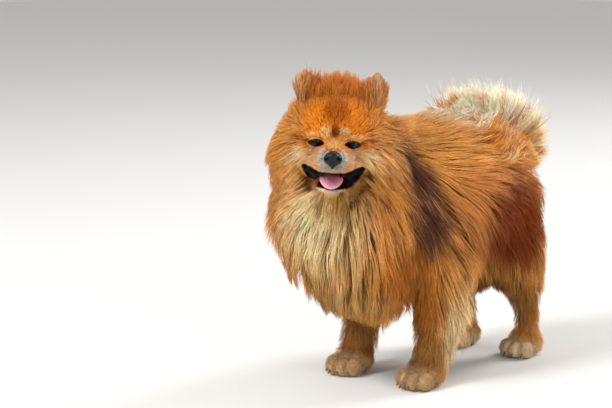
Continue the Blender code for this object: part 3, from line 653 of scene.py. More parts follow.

# %% [markdown]
# ## Combing the coat
# A groomer knows the lie of the coat by heart: back over the skull, down and out over the cheeks, down
# the chest, backwards along the ribs and down the legs. The table is that knowledge. Each row is a
# place, the way the hair points there, its length in millimetres and how closely it hugs the body. At 1
# it lies along the outline, at 0 it stands free of it. Rows marked 1 after the frame serve both sides.
# Many rows of the back, the flank and the mane were measured in the photograph, point by point, and then
# changed. The others were written after the breed.

# %% Write down the lie of the coat
COMBING = {
    "back and ribs": (DOG, 1, [
        ((15, -90, 252), (0.35, 0.85, -0.15), 44, 1), ((18, -60, 252), (0.10, 1.0, 0.0), 48, 1),
        ((17, -15, 250), (0.10, 1.0, 0.0), 48, 1), ((45, -80, 235), (0.12, 0.98, -0.08), 52, 1),
        ((62, -46, 214), (0.02, 0.98, -0.16), 56, 1), ((69, -10, 205), (-0.04, 0.94, -0.34), 56, 1),
        ((72, 8, 185), (-0.08, 0.88, -0.46), 56, 1), ((56, 62, 190), (-0.10, 0.80, -0.60), 50, 1),
        ((50, -118, 221), (0.26, 0.30, -0.92), 58, 1), ((59, -98, 210), (0.28, 0.71, -0.64), 60, 1),
        ((59, -107, 188), (0.20, 0.42, -0.88), 62, 1), ((73, -70, 172), (0.05, 0.68, -0.73), 60, 1),
        ((76, -60, 135), (-0.20, 0.60, -0.78), 52, 1), ((15, 20, 242), (0.1, 1.0, -0.1), 36, 1)]),
    "thigh and rump": (DOG, 1, [
        ((78, -5, 150), (-0.10, 0.75, -0.66), 52, 1), ((69, -7, 122), (-0.15, 0.50, -0.85), 46, 1),
        ((60, 45, 118), (-0.10, 0.35, -0.93), 38, 1), ((66, 60, 142), (-0.10, 0.40, -0.91), 42, 1),
        ((20, 108, 150), (0.0, 0.30, -0.95), 38, 1), ((16, 102, 178), (0.1, 0.60, -0.80), 38, 1),
        ((32, 98, 112), (0.0, 0.15, -1.0), 30, 0.8)]),
    "belly": (DOG, 1, [
        ((45, 0, 88), (0.0, 0.25, -0.97), 36, 0.3), ((0, 5, 68), (0.0, 0.40, -0.9), 22, 0.4),
        ((30, -45, 80), (0.0, 0.25, -0.97), 32, 0.3), ((42, 36, 92), (0.0, 0.25, -0.97), 32, 0.4)]),
    "mane": (DOG, 0, [
        ((20, -192, 192), (-0.38, -0.09, -0.92), 54, 1), ((8, -194, 164), (-0.36, 0.02, -0.93), 60, 1),
        ((21, -188, 148), (-0.25, 0.15, -0.95), 60, 1), ((20, -170, 108), (-0.12, 0.15, -0.98), 44, 0.9),
        ((41, -169, 170), (0.0, 0.25, -0.96), 60, 1), ((58, -141, 150), (-0.05, 0.40, -0.92), 58, 1),
        ((51, -147, 187), (0.15, 0.12, -0.98), 60, 1), ((37, -152, 218), (0.37, 0.05, -0.93), 48, 1),
        ((40, -138, 231), (0.39, 0.20, -0.90), 46, 1), ((-25, -199, 184), (-0.59, -0.01, -0.81), 54, 1),
        ((-20, -197, 222), (-0.80, 0.21, -0.56), 44, 1), ((-38, -192, 244), (-0.65, 0.10, -0.70), 40, 1),
        ((-60, -165, 200), (-0.60, 0.40, -0.70), 54, 1), ((-72, -120, 170), (-0.30, 0.60, -0.75), 56, 1),
        ((-64, -92, 222), (-0.40, 0.70, -0.60), 54, 1), ((-40, -150, 108), (-0.10, 0.20, -0.97), 46, 0.9),
        ((-32, -178, 140), (-0.20, 0.0, -0.98), 58, 1), ((-30, -110, 256), (-0.3, 0.9, -0.3), 40, 1),
        ((20, -125, 256), (0.35, 0.7, -0.5), 38, 1), ((60, -115, 120), (-0.05, 0.45, -0.89), 40, 1)]),
    "forelegs": (DOG, 1, [
        ((44, -98, 90), (-0.05, 0.22, -0.97), 26, 1), ((42, -100, 60), (0.0, 0.0, -1.0), 15, 1),
        ((58, -82, 52), (0.0, 0.15, -1.0), 18, 1), ((30, -86, 52), (0.0, 0.1, -1.0), 14, 1),
        ((56, -56, 92), (0.24, 0.30, -0.92), 68, 0.2), ((55, -62, 68), (0.22, 0.22, -0.94), 56, 0.2),
        ((46, -50, 80), (0.10, 0.36, -0.92), 56, 0.2), ((50, -66, 44), (0.20, 0.16, -0.97), 42, 0.25),
        ((43, -100, 30), (0.0, -0.35, -0.95), 8, 1), ((43, -106, 20), (0.0, -0.85, -0.5), 7, 1),
        ((57, -92, 14), (0.3, -0.6, -0.6), 6, 1), ((30, -92, 14), (-0.3, -0.6, -0.6), 6, 1),
        ((43, -112, 14), (0.0, -0.95, -0.3), 6, 1), ((43, -116, 7), (0.0, -0.6, -0.8), 4.5, 1),
        ((43, -66, 12), (0.0, 0.4, -0.9), 8, 1)]),
    "hind legs": (DOG, 1, [
        ((46, 58, 70), (-0.05, 0.28, -0.95), 20, 1), ((38, 66, 48), (0.0, 0.0, -1.0), 13, 1),
        ((36, 94, 60), (0.0, 0.40, -0.91), 24, 0.7), ((46, 80, 34), (0.0, 0.1, -1.0), 12, 1),
        ((36, 92, 34), (0.0, 0.3, -0.95), 14, 0.8),
        ((38, 60, 18), (0.0, -0.85, -0.5), 7, 1), ((50, 72, 14), (0.3, -0.6, -0.6), 6, 1),
        ((26, 74, 14), (-0.3, -0.6, -0.6), 6, 1), ((38, 54, 8), (0.0, -0.6, -0.8), 4.5, 1),
        ((36, 98, 14), (0.0, 0.4, -0.9), 8, 1)]),
    "muzzle and jaw": (HEAD, 1, [
        ((0, -25, -4), (0.0, 1.0, 0.35), 2.8, 1), ((0, -12, -1), (0.0, 0.85, 0.5), 3.4, 1),
        ((11, -27, -15), (0.35, 0.9, -0.3), 3.4, 1), ((15, -12, -16), (0.45, 0.85, -0.3), 5.0, 1),
        ((17, -2, -22), (0.6, 0.75, -0.2), 6, 1), ((6, -27, -21), (0.5, 0.5, -0.6), 2.6, 1),
        ((0, -14, -45), (0.0, 0.2, -1.0), 6, 1), ((12, -4, -49), (0.3, 0.3, -1.0), 12, 1),
        ((0, 2, -58), (0.0, 0.1, -1.0), 24, 1), ((22, 10, -42), (0.5, 0.3, -0.95), 20, 1)]),
    "brow and lids": (HEAD, 1, [
        ((0, -3, 5), (0.0, 0.1, 1.0), 3.4, 1), ((10, -1, 10), (0.35, 0.1, 1.0), 4, 1),
        ((18, 2, 9), (0.5, 0.2, 0.9), 4, 1), ((17, 0, -7), (0.6, 0.3, -0.7), 3.6, 1),
        ((28, 6, -1), (0.9, 0.4, -0.15), 7, 1), ((9, -6, -6), (0.5, 0.6, -0.6), 3.4, 1),
        ((0, 1, 18), (0.0, 0.3, 1.0), 6.5, 1), ((10, 2, 26), (0.25, 0.3, 1.0), 8, 1),
        ((0, 4, 34), (0.0, 0.45, 1.0), 9, 1), ((16, 8, 36), (0.35, 0.35, 1.0), 10, 1),
        ((24, 8, 20), (0.55, 0.4, 0.75), 9, 1), ((32, 14, 8), (0.85, 0.45, 0.3), 13, 1),
        ((33, 16, 24), (0.20, -0.12, 1.0), 32, 0.2), ((42, 20, 24), (0.60, 0.0, 0.75), 28, 0.3)]),
    "cheeks": (HEAD, 1, [
        ((30, 4, -9), (0.85, 0.3, -0.40), 11, 1), ((33, 7, -16), (0.85, 0.3, -0.5), 16, 1),
        ((40, 5, -13), (0.75, 0.3, -0.65), 24, 1), ((46, 14, -5), (0.7, 0.4, -0.65), 30, 1),
        ((45, 22, 15), (0.75, 0.4, -0.35), 26, 1), ((34, 12, -32), (0.6, 0.35, -0.85), 26, 1),
        ((52, 12, -38), (0.45, 0.25, -0.9), 44, 1)]),
    "crown": (HEAD, 1, [
        ((0, 15, 46), (0.0, 0.0, 1.0), 29, 0.05), ((18, 18, 44), (0.10, 0.0, 1.0), 29, 0.05),
        ((25, 22, 44), (0.12, -0.05, 1.0), 28, 0.05), ((0, 30, 54), (0.0, 0.1, 1.0), 27, 0.05),
        ((16, 32, 52), (0.20, 0.1, 1.0), 26, 0.05),
        ((0, 50, 54), (0.0, 0.75, 0.7), 28, 0.4), ((34, 40, 38), (0.5, 0.5, 0.6), 22, 0.5),
        ((0, 82, 28), (0.0, 0.9, -0.45), 36, 1), ((40, 62, 20), (0.55, 0.8, -0.4), 36, 1),
        ((42, 52, -10), (0.55, 0.7, -0.6), 42, 1)]),
    "ears": (HEAD, 1, [
        ((34, 31, 62), (0.1, 0.2, 1.0), 7, 0.7), ((34, 23, 64), (0.0, -0.05, 1.0), 6, 0.7),
        ((43, 27, 56), (0.5, 0.1, 0.9), 9, 0.5), ((26, 27, 56), (-0.4, 0.0, 0.9), 9, 0.5),
        ((32, 20, 36), (0.15, -0.12, 1.0), 24, 0.2), ((44, 24, 36), (0.60, 0.0, 0.80), 20, 0.3),
        ((34, 28, 66), (0.0, 0.0, 1.0), 6, 0.4), ((34, 34, 46), (0.15, 0.2, 0.95), 22, 0.3),
        ((34, 21, 55), (0.0, -0.1, 1.0), 10, 0.6)]),
}

# %% [markdown]
# The plume is the hair of the tail. It fans out from the curled tail over the back and hides the croup
# beside it, whose long hair runs into it. It has a comb of its own, so that the hair of the back, which
# lies close beneath, doesn't turn its locks.

# %% Write down the lie of the plume
PLUME_COMBING = {
    "plume": (DOG, 1, [
        ((0, 40, 250), (0.0, -0.25, 1.0), 58, 0), ((22, 40, 246), (0.15, 0.25, 0.95), 62, 0),
        ((22, 14, 244), (0.25, -0.55, 0.80), 58, 0), ((0, 8, 246), (0.0, -0.60, 0.80), 56, 0),
        ((24, 64, 240), (0.25, 0.75, 0.60), 66, 0), ((0, 72, 246), (0.0, 0.50, 0.90), 60, 0),
        ((26, 84, 222), (0.30, 0.95, 0.22), 64, 0), ((0, 98, 226), (0.0, 0.90, 0.45), 58, 0),
        ((25, 92, 204), (0.30, 0.95, -0.25), 60, 0), ((0, 106, 206), (0.0, 1.0, -0.15), 52, 0),
        ((20, 96, 190), (0.20, 0.80, -0.60), 52, 0), ((0, 104, 190), (0.0, 0.70, -0.70), 48, 0),
        ((26, 40, 228), (0.50, 0.75, 0.40), 72, 0), ((26, 66, 224), (0.35, 0.90, 0.10), 72, 0),
        ((20, 6, 236), (0.45, -0.20, 0.75), 58, 0)]),
    "croup beside the plume": (DOG, 1, [
        ((38, 8, 238), (0.30, 0.90, 0.16), 68, 0.25), ((45, 45, 222), (0.20, 0.95, 0.0), 68, 0.35),
        ((36, 80, 205), (0.15, 0.92, -0.28), 58, 0.4), ((58, 20, 220), (0.10, 0.97, 0.06), 68, 0.55),
        ((56, -24, 222), (0.12, 0.98, 0.0), 66, 0.7), ((56, 60, 200), (0.0, 0.97, -0.18), 64, 0.55)]),
}

# %% Read the comb at any place
def comb_rows(table):
    """The table as rows of numbers in metres, with the rows of a pair for both sides."""
    rows = []
    for frame, pair, lines in table.values():
        for place, heading, length, hug in lines:
            for side in ((1, -1) if pair and place[0] else (1,)):
                at = frame @ (Vector((place[0] * side, place[1], place[2])) * MM)
                way = frame.to_3x3() @ Vector((heading[0] * side, heading[1], heading[2])).normalized()
                rows.append((*at, *way, length, hug))
    return np.array(rows)


COMB, PLUME_COMB = comb_rows(COMBING), comb_rows(PLUME_COMBING)
print("the comb knows", len(COMB) + len(PLUME_COMB), "places")


def on_plume(points):
    """Whether a place is on the tail or on the croup beside it, from where the plume fans out."""
    place = in_frame(points, DOG)
    out = np.abs(place[:, 0])
    beside = (out < 68) & (place[:, 1] > np.where(out > 34, -36, -4)) & (place[:, 1] < 100)
    beside &= place[:, 2] > 217 - 0.45 * np.maximum(place[:, 1] - 20, 0) - 0.8 * np.maximum(out - 34, 0)
    return (off_limb(place, TAIL) < 13) | beside


COMB_BLEND = 0.012      # in metres; rows nearer than about a third of it blend evenly


def combed(points, plume):
    """The way the hair points at each place, its length in millimetres and how closely it hugs."""
    means = []
    for comb in (COMB, PLUME_COMB):
        squared = (points ** 2).sum(1)[:, None] + (comb[:, :3] ** 2).sum(1)[None]
        squared = squared - 2 * points @ comb[:, :3].T
        near = 1.0 / (np.maximum(squared, 0) / COMB_BLEND ** 2 + 0.08) ** 2
        near /= near.sum(1, keepdims=True)
        means.append(near @ comb[:, 3:])
    mean = np.where(plume[:, None], means[1], means[0])
    heading = mean[:, :3] / np.maximum(np.linalg.norm(mean[:, :3], axis=1, keepdims=True), 1e-6)
    return heading, mean[:, 3], mean[:, 4]

# %% [markdown]
# ## Where the tufts are rooted
# Roots are scattered over the skin's triangles. Short hair needs them close together, long hair covers
# more with each tuft. Nothing grows on lips, lid edges, nose, the hollow of the mouth or the soles.

# %% Scatter the roots
def triangles_of(mesh):
    """The three corners of each triangle of a mesh, as vertex numbers."""
    mesh.calc_loop_triangles()
    corners = np.empty(len(mesh.loop_triangles) * 3, np.int32)
    mesh.loop_triangles.foreach_get("vertices", corners)
    return corners.reshape(-1, 3)


def normalised(vectors):
    """The vectors, all made one long."""
    return vectors / np.maximum(np.linalg.norm(vectors, axis=1, keepdims=True), 1e-9)


TUFT_GOAL = 96500
corners = places_of(skin.data)[triangles_of(skin.data)]
cross = np.cross(corners[:, 1] - corners[:, 0], corners[:, 2] - corners[:, 0])
area = np.linalg.norm(cross, axis=1) / 2 / MM ** 2
facing = normalised(cross)
middle = corners.mean(1)
in_plume = on_plume(middle)
_, length, hug = combed(middle, in_plume)
at_head = in_frame(middle, HEAD)
on_face = (np.abs(at_head[:, 0]) < 50) & (at_head[:, 1] < 50) & (at_head[:, 2] > -60)
on_foot = middle[:, 2] < 0.027
at_ear = (at_head[:, 2] > 38) & (np.abs(at_head[:, 0]) > 21) & (at_head[:, 1] < 34)
at_dog = in_frame(middle, DOG)
on_chest = (at_dog[:, 1] < -95) & (at_dog[:, 2] > 84) & ~on_face

# tufts on a square millimetre
crowding = 0.34 + 0.20 * np.exp(-length / 9.0) + 0.26 * in_plume + 0.5 * on_foot
crowding = crowding + on_face * (0.8 + 1.7 * (length < 9)) + 1.5 * at_ear + 0.16 * on_chest
bare = ((off_mouth(middle) < 2.0) | (off_lids(middle) < 1.3) | (off_nose(middle) < 1.0)
        | (middle[:, 2] < 0.0025))
weight = area * crowding * ~bare
print("the coat would hold", int(weight.sum()), "tufts")
count = min(TUFT_GOAL, int(weight.sum()))
even_draw = (np.arange(count) + rng.random(count)) / count
picked = np.minimum(np.searchsorted(np.cumsum(weight) / weight.sum(), even_draw), len(weight) - 1)
mix = rng.random((count, 2))
flip = mix.sum(1) > 1
mix[flip] = 1 - mix[flip]
tri = corners[picked]
roots = tri[:, 0] + mix[:, :1] * (tri[:, 1] - tri[:, 0]) + mix[:, 1:] * (tri[:, 2] - tri[:, 0])
root_normals = facing[picked]
print("roots:", count)

# %% [markdown]
# ## Locks
# Hair of this length never lies strand by strand, it gathers into locks. One root in every twenty-six
# leads a lock, and the roots that have it as their nearest leader belong to it. A lock shares one turn,
# one rise, one lift off the coat and one tone, and that makes the eye read it as a lock.

# %% Gather the roots into locks
def to_outline(points):
    """The nearest place on the outline, the outline's normal there and how far outside a place is."""
    found = [outline_tree.find_nearest(Vector(p)) for p in points]
    place = np.array([f[0] for f in found])
    normal = np.array([f[1] for f in found])
    return place, normal, ((points - place) * normal).sum(1)


in_plume = on_plume(roots)
heading, length, hug = combed(roots, in_plume)
length = length * rng.uniform(0.70, 1.15, count)
_, _, off = to_outline(roots)
depth = np.maximum(-off, 0.0008)

dog_place, head_place = in_frame(roots, DOG), in_frame(roots, HEAD)
out, back, up = np.abs(dog_place[:, 0]), dog_place[:, 1], dog_place[:, 2]
in_feather = (out > 34) & (back > -74) & (back < -36) & (up > 34) & (up < 100)
on_leg = (up > 24) & (up < 84)
on_crown = (head_place[:, 2] > 38) & (hug < 0.3)
TUFTS_IN_A_LOCK = 26
leaders = rng.choice(count, count // TUFTS_IN_A_LOCK, replace=False)
tree = KDTree(len(leaders))
for i, leader in enumerate(leaders):
    tree.insert(Vector(roots[leader]), i)
tree.balance()
lock = np.array([tree.find(Vector(p))[1] for p in roots])
leader = leaders[lock]
lock_turn = rng.normal(0, 0.065, (len(leaders), 3))[lock]
lock_rise = rng.uniform(0.82, 1.0, len(leaders))[lock]
lock_shade = rng.normal(0, 1, len(leaders))[lock]
lock_length = rng.uniform(0.68, 1.12, len(leaders))[lock]
lock_lift = rng.uniform(0.0, 1.0, len(leaders))[lock] * np.where(length > 8.5, 0.0018, 0.0006)
lock_hue = rng.random(len(leaders))[lock]
print("locks:", len(leaders))

# %% [markdown]
# ## Growing the tufts
# Each tuft is a path of five points. It starts in the skin, rises through the depth of the coat and then
# runs along the outline, turning with the comb as it goes. Loose hair stands free instead and ends a
# little past the place where its way meets the outline. A few strays on crown and plume grow half as long
# again, and the locks of the plume curl more towards their tips.

# %% Settle how each tuft turns, rises and how long it gets
rise = lock_rise * (1.0 - 0.55 * rng.random(count) ** 2)
rise[leaders] = lock_rise[leaders]
stray = rng.random(count) < 0.04
turn = lock_turn + rng.normal(0, 0.032, (count, 3))
loose = np.clip((0.5 - hug) / 0.3, 0.0, 1.0)
curl = in_plume * np.where(back < 60, 0.9, 0.3)
swirl = np.cross(np.array([1.0, 0.0, 0.0]), heading) * curl[:, None]
starts = zip(roots + root_normals * MM, normalised(heading + turn), loose > 0)
reach = np.array([(outline_tree.ray_cast(Vector(p), Vector(h))[3] or 0.03) if free else 1.0
                  for p, h, free in starts]) / MM
spare = np.where(in_plume, 9.0, 8.0) + 22.0 * in_feather + 6.0 * on_crown
length = np.where(loose > 0, np.minimum(length, (reach + spare) * rng.uniform(0.75, 1.05, count)), length)
length *= np.where(on_crown, lock_length, 1.0)
flyaway = stray & (on_crown | (in_plume & (back < 70) & (out < 40)))
length *= np.where(flyaway, 1.5, 1.0)
print("flyaway tufts:", int(flyaway.sum()))

# %% Grow the paths
STEPS = 4
ROOT_DEPTH, FLOOR_GAP = 0.5 * MM, 0.5 * MM
STRAY_LIFT, PLUME_LIFT = 3 * MM, 5 * MM
tip_lift = 0.0008 + 0.0010 * (depth < 0.002)        # tips rise a little more where the coat is thin
room = 0.001 + loose * 0.009 + in_feather * 0.010 + on_crown * 0.006 + flyaway * 0.007
paths = np.empty((count, STEPS + 1, 3))
paths[:, 0] = roots - root_normals * ROOT_DEPTH
at = roots.copy()
for step in range(1, STEPS + 1):
    share = step / STEPS
    heading, _, _ = combed(at, in_plume)
    upward = root_normals * (loose * 0.35 * (1 - share))[:, None]
    heading = normalised(heading + turn + swirl * share ** 2 + upward)
    ahead = at + heading * (length * MM / STEPS)[:, None]
    place, normal, off = to_outline(ahead)
    want = depth * (1.0 - rise * (1.0 - (1.0 - share) ** 2.2))
    want = want - tip_lift * share - stray * STRAY_LIFT * share
    want = want - in_plume * PLUME_LIFT * share ** 3
    want = want - lock_lift * share ** 2 * (1.0 + on_leg)
    hugging = place - normal * want[:, None]
    free = ahead - normal * np.maximum(off - room, 0)[:, None]
    at = free + (hugging - free) * hug[:, None]
    paths[:, step] = at
print("grew", count, "paths")

# %% [markdown]
# A tuft that would hang over the lips or an eye is laid flat and short. One that crosses them even so is
# left out, and so is a long one that has curled up on itself, as happens in the crease beside the tail.
# Then the others bend towards their lock's leader, more and more up to their tips.

# %% Keep eyes and lips free and draw the locks together
def crosses(off, least):
    """Whether a tuft comes nearer to a bare place than the least distance."""
    return (off(paths[:, 1:].reshape(-1, 3)).reshape(count, STEPS) < least).any(1)


over = crosses(off_mouth, 0.4) | crosses(off_lids, 0.6)
heading, _, _ = combed(roots, in_plume)
outward = (heading * root_normals).sum(1)[:, None]
flat_way = normalised(heading - root_normals * outward + root_normals * 0.35)
short = np.minimum(length, np.where(off_lids(roots) < 8, 2.6, 7.5)) * MM
for step in range(1, STEPS + 1):
    paths[over, step] = (roots + flat_way * (short * step / STEPS)[:, None])[over]
length[over] = short[over] / MM
kept = ~(crosses(off_mouth, 0.2) | crosses(off_lids, 0.3))
curled_up = np.linalg.norm(paths[:, -1] - paths[:, 0], axis=1) < 0.55 * length * MM
kept &= ~(curled_up & (in_plume | (length > 30)))
print("shortened", int(over.sum()), "tufts at lips and lids")
print("left out", int((~kept).sum()), "that cross or tangle")

LOCK_REACH = 16 * MM
gather = np.linspace(0, 1, STEPS + 1) ** 1.3 * 0.38
own = roots - roots[leader]
near = ((np.linalg.norm(own, axis=1) < LOCK_REACH) & ~over & ~over[leader])[:, None]
for step in range(1, STEPS + 1):
    goal = paths[leader, step] + own * 0.45
    paths[:, step] += (goal - paths[:, step]) * gather[step] * near
paths[:, :, 2] = np.maximum(paths[:, :, 2], FLOOR_GAP)
path_lengths = np.linalg.norm(np.diff(paths, axis=1), axis=2).sum(1)
print("mean length of a tuft:", round(float(path_lengths.mean()) / MM, 1), "mm")

# %% [markdown]
# ## Unwrap for the tufts
# Every tuft gets a small patch of the OFBake map at its root's place on an unwrap of the skin. A coarse
# copy of the skin is enough to unwrap, and each root takes the place of the nearest point on it.

# %% Unwrap a coarse copy of the skin
coarse = bpy.data.objects.new("coarse skin", skin.data.copy())
bpy.context.collection.objects.link(coarse)
thin = coarse.modifiers.new("thin out", "DECIMATE")
COARSE_FACES = 6000
thin.ratio = COARSE_FACES / len(coarse.data.polygons)
apply_modifiers(coarse)
bpy.context.view_layer.objects.active = coarse
coarse.select_set(True)
bpy.ops.object.mode_set(mode="EDIT")
bpy.ops.mesh.select_all(action="SELECT")
bpy.ops.uv.smart_project(angle_limit=math.radians(66), island_margin=0.004)
bpy.ops.object.mode_set(mode="OBJECT")
coarse_places = places_of(coarse.data)
coarse_tris = triangles_of(coarse.data)
loops = np.empty(len(coarse.data.loop_triangles) * 3, np.int32)
coarse.data.loop_triangles.foreach_get("loops", loops)
flat = np.empty(len(coarse.data.loops) * 2, np.float32)
coarse.data.uv_layers.active.data.foreach_get("uv", flat)
coarse_uv = flat.reshape(-1, 2)[loops].reshape(-1, 3, 2)
bpy.data.objects.remove(coarse, do_unlink=True)
print("unwrapped", len(coarse_tris), "triangles")

# %% Find each root's place on the unwrap
def shares_of_corners(spot, a, b, c):
    """How much the corners b and c of a triangle weigh in a spot on it."""
    ab, ac, ap = b - a, c - a, spot - a
    d00, d01, d11 = (ab * ab).sum(1), (ab * ac).sum(1), (ac * ac).sum(1)
    d20, d21 = (ap * ab).sum(1), (ap * ac).sum(1)
    denominator = np.maximum(d00 * d11 - d01 * d01, 1e-18)
    return (np.clip((d11 * d20 - d01 * d21) / denominator, 0, 1)[:, None],
            np.clip((d00 * d21 - d01 * d20) / denominator, 0, 1)[:, None])


coarse_tree = BVHTree.FromPolygons([Vector(p) for p in coarse_places],
                                   [tuple(int(i) for i in t) for t in coarse_tris])
found = [coarse_tree.find_nearest(Vector(p)) for p in roots]
face = np.array([f[2] for f in found])
spot = np.array([f[0] for f in found])
at_b, at_c = shares_of_corners(spot, *(coarse_places[coarse_tris[face, i]] for i in range(3)))
corner_uv = coarse_uv[face]
root_uv = corner_uv[:, 0] * (1 - at_b - at_c) + corner_uv[:, 1] * at_b + corner_uv[:, 2] * at_c
root_uv = np.clip(root_uv, 0.002, 0.998)
print("roots on the unwrap:", len(root_uv))

# %% [markdown]
# ## Colouring the tufts
# A tuft takes its colours from the markings at three places along it. Each tuft looks them up a little
# beside itself, so the edges of the markings run into each other as they do in real fur. Chance adds two
# things: whole warm locks among the ivory of the plume, and a few paler tufts in the dark band.

# %% Colour the tufts
blur = rng.normal(0, 1, (count, 3)) * np.where(length > 14, 0.0045, 0.0008)[:, None]
fleck = rng.normal(0, 1, count)


def paint_of(points):
    """The coat's colour at places on the tufts, with the locks of the plume and of the dark band."""
    points = points + blur
    paint = marking_at(points)
    place = in_frame(points, DOG)
    place[:, 0] = np.abs(place[:, 0])
    height = place[:, 2] + 0.35 * (place[:, 1] - 40) - 0.12 * place[:, 0]
    rusty = np.clip((252 - height) / 45, 0.07, 0.72)
    draw = (lock_hue * 7 % 1)[:, None]
    warm = np.where(draw < 0.75, np.array(RUST) * 0.85, np.array(SAND))
    warm = np.where(draw < 0.35, np.array(ORANGE), warm)
    paint = np.where((in_plume & (lock_hue < rusty))[:, None], warm, paint)
    in_stripe = 1.0 - smooth_step(-5.0, 6.0, off_limb(place, STRIPE))
    pale = (0.7 * lock_shade + fleck > 2.0)[:, None]
    streak = np.where(pale, np.array(STRIPE_TAN), np.array(STRIPE_DARK))
    return paint + (streak - paint) * (in_stripe * 0.95 * ~in_plume)[:, None]


coat_paint = np.stack([paint_of(paths[:, step]) for step in (1, 2, 3)], 1)
streaked = np.clip((length - 14.0) / 20.0, 0.0, 1.0)
coat_tint = np.clip(1.0 + (0.03 + 0.11 * streaked) * lock_shade + rng.normal(0, 0.08, count), 0.6, 1.4)
print("mean colour of the coat:", [round(float(x), 2) for x in coat_paint.mean((0, 1))])

# %% [markdown]
# ## From paths to mesh
# A tuft has three long sides and closes to a point, so it has few faces and still catches light on one
# side. It lies flat against the body. The short tufts of the face have two rings below the tip, those of
# the body three, and the long curling ones of the plume four.

# %% Place the vertices of the tufts
def along_path(path, share):
    """The places along five-point paths at a share of their length."""
    whole = min(int(share * STEPS), STEPS - 1)
    part = share * STEPS - whole
    return path[:, whole] * (1 - part) + path[:, whole + 1] * part


def tuft_places(chosen, share):
    """The vertices of the chosen tufts: three in a ring at each share of the length, one at the tip."""
    number, rings = len(chosen), len(share) - 1
    path = np.stack([along_path(paths[chosen], part) for part in share], 1)
    along = normalised((path[:, 1:] - path[:, :-1]).reshape(-1, 3)).reshape(number, rings, 3)
    _, normal, _ = to_outline(path[:, 0])
    upright = (np.abs((normal * along[:, 0]).sum(1)) > 0.9)[:, None]
    normal = np.where(upright, np.roll(along[:, 0], 1, axis=1), normal)
    normal = np.repeat(normal[:, None], rings, 1)
    side = normalised(np.cross(along, normal).reshape(-1, 3)).reshape(number, rings, 3)
    up = normalised(np.cross(side, along).reshape(-1, 3)).reshape(number, rings, 3)
    width = (0.14 + 0.0036 * length[chosen]) * MM * rng.uniform(0.7, 1.3, number)
    profile = np.interp(share[:-1], [0, 0.35, 0.75, 1], [0.75, 1.0, 0.75, 0.3])
    half = width[:, None, None] * profile[None, :, None]
    ring = np.stack([path[:, :-1] - side * half, path[:, :-1] + side * half,
                     path[:, :-1] + up * half * 0.7], 2)
    verts = np.concatenate([ring.reshape(number, rings * 3, 3), path[:, -1:]], 1)
    verts[:, :, 2] = np.maximum(verts[:, :, 2], 0.1 * MM)
    return verts

# %% List the faces of one tuft and colour its vertices
def tuft_faces(share):
    """The faces of one tuft, and the place of each of their corners on its patch of the map."""
    rings = len(share) - 1
    faces, patch = [], []
    for r in range(rings - 1):
        for j in range(3):
            k = (j + 1) % 3
            faces.append([r * 3 + j, r * 3 + k, r * 3 + 3 + k, r * 3 + 3 + j])
            low, high = share[r], share[r + 1]
            patch.append([(j / 3, low), ((j + 1) / 3, low), ((j + 1) / 3, high), (j / 3, high)])
    for j in range(3):
        k = (j + 1) % 3
        faces.append([(rings - 1) * 3 + j, (rings - 1) * 3 + k, rings * 3])
        patch.append([(j / 3, share[-2]), ((j + 1) / 3, share[-2]), ((j + 0.5) / 3, 1.0)])
    faces.append([0, 2, 1])
    patch.append([(0.0, 0.0), (0.3, 0.0), (0.15, 0.04)])
    return faces, np.array(sum(patch, []))


def tuft_colours(chosen, share):
    """A colour for each vertex: darker at the root as painted shade down in the coat, and tinted tuft by
    tuft.
    """
    # painted shade: the roots are painted darker, where the coat shades them, and the tips a little lighter
    tone = (0.82 + 0.26 * share ** 0.8)[None, :, None]
    before = np.minimum((share * 2).astype(int), 1)
    part = (share * 2 - before)[None, :, None]
    paint = coat_paint[chosen][:, before] * (1 - part) + coat_paint[chosen][:, before + 1] * part
    shade = paint * tone * coat_tint[chosen][:, None, None]
    shade = np.concatenate([np.repeat(shade[:, :-1], 3, 1), shade[:, -1:]], 1)
    return np.clip(shade, 0, 1).reshape(-1, 3)

# %% Join the tufts of one piece into a mesh
PATCH = 0.003       # the side of a tuft's patch on the OFBake map


def tuft_mesh(name, chosen, rings):
    """One mesh of all chosen tufts, each with the given number of rings below its tip."""
    number = len(chosen)
    share = np.linspace(0, 1, rings + 1)
    verts = tuft_places(chosen, share)
    faces, patch = tuft_faces(share)
    corners, sizes = sum(faces, []), [len(face) for face in faces]
    mesh = bpy.data.meshes.new(name)
    mesh.vertices.add(verts.shape[0] * verts.shape[1])
    mesh.vertices.foreach_set("co", verts.astype(np.float32).ravel())
    mesh.loops.add(number * len(corners))
    all_corners = np.array(corners)[None] + (np.arange(number) * verts.shape[1])[:, None]
    mesh.loops.foreach_set("vertex_index", all_corners.astype(np.int32).ravel())
    mesh.polygons.add(number * len(sizes))
    starts = np.concatenate([[0], np.cumsum(sizes)[:-1]])
    all_starts = starts[None] + (np.arange(number) * len(corners))[:, None]
    mesh.polygons.foreach_set("loop_start", all_starts.astype(np.int32).ravel())
    mesh.update(calc_edges=True)
    layer = mesh.uv_layers.new(name="OFBake")
    places = root_uv[chosen][:, None] + (patch[None] - 0.5) * PATCH
    layer.data.foreach_set("uv", places.astype(np.float32).ravel())
    set_colours(mesh, tuft_colours(chosen, share))
    mesh.shade_smooth()
    mesh.validate()
    mesh.materials.append(coat_finish)
    made = bpy.data.objects.new(name, mesh)
    bpy.context.collection.objects.link(made)
    return made

# %% [markdown]
# One mesh of the whole coat would be too heavy to handle, so the coat is parted where a groomer would
# part it. The lines between the parts don't show, because the tufts overlap across them.

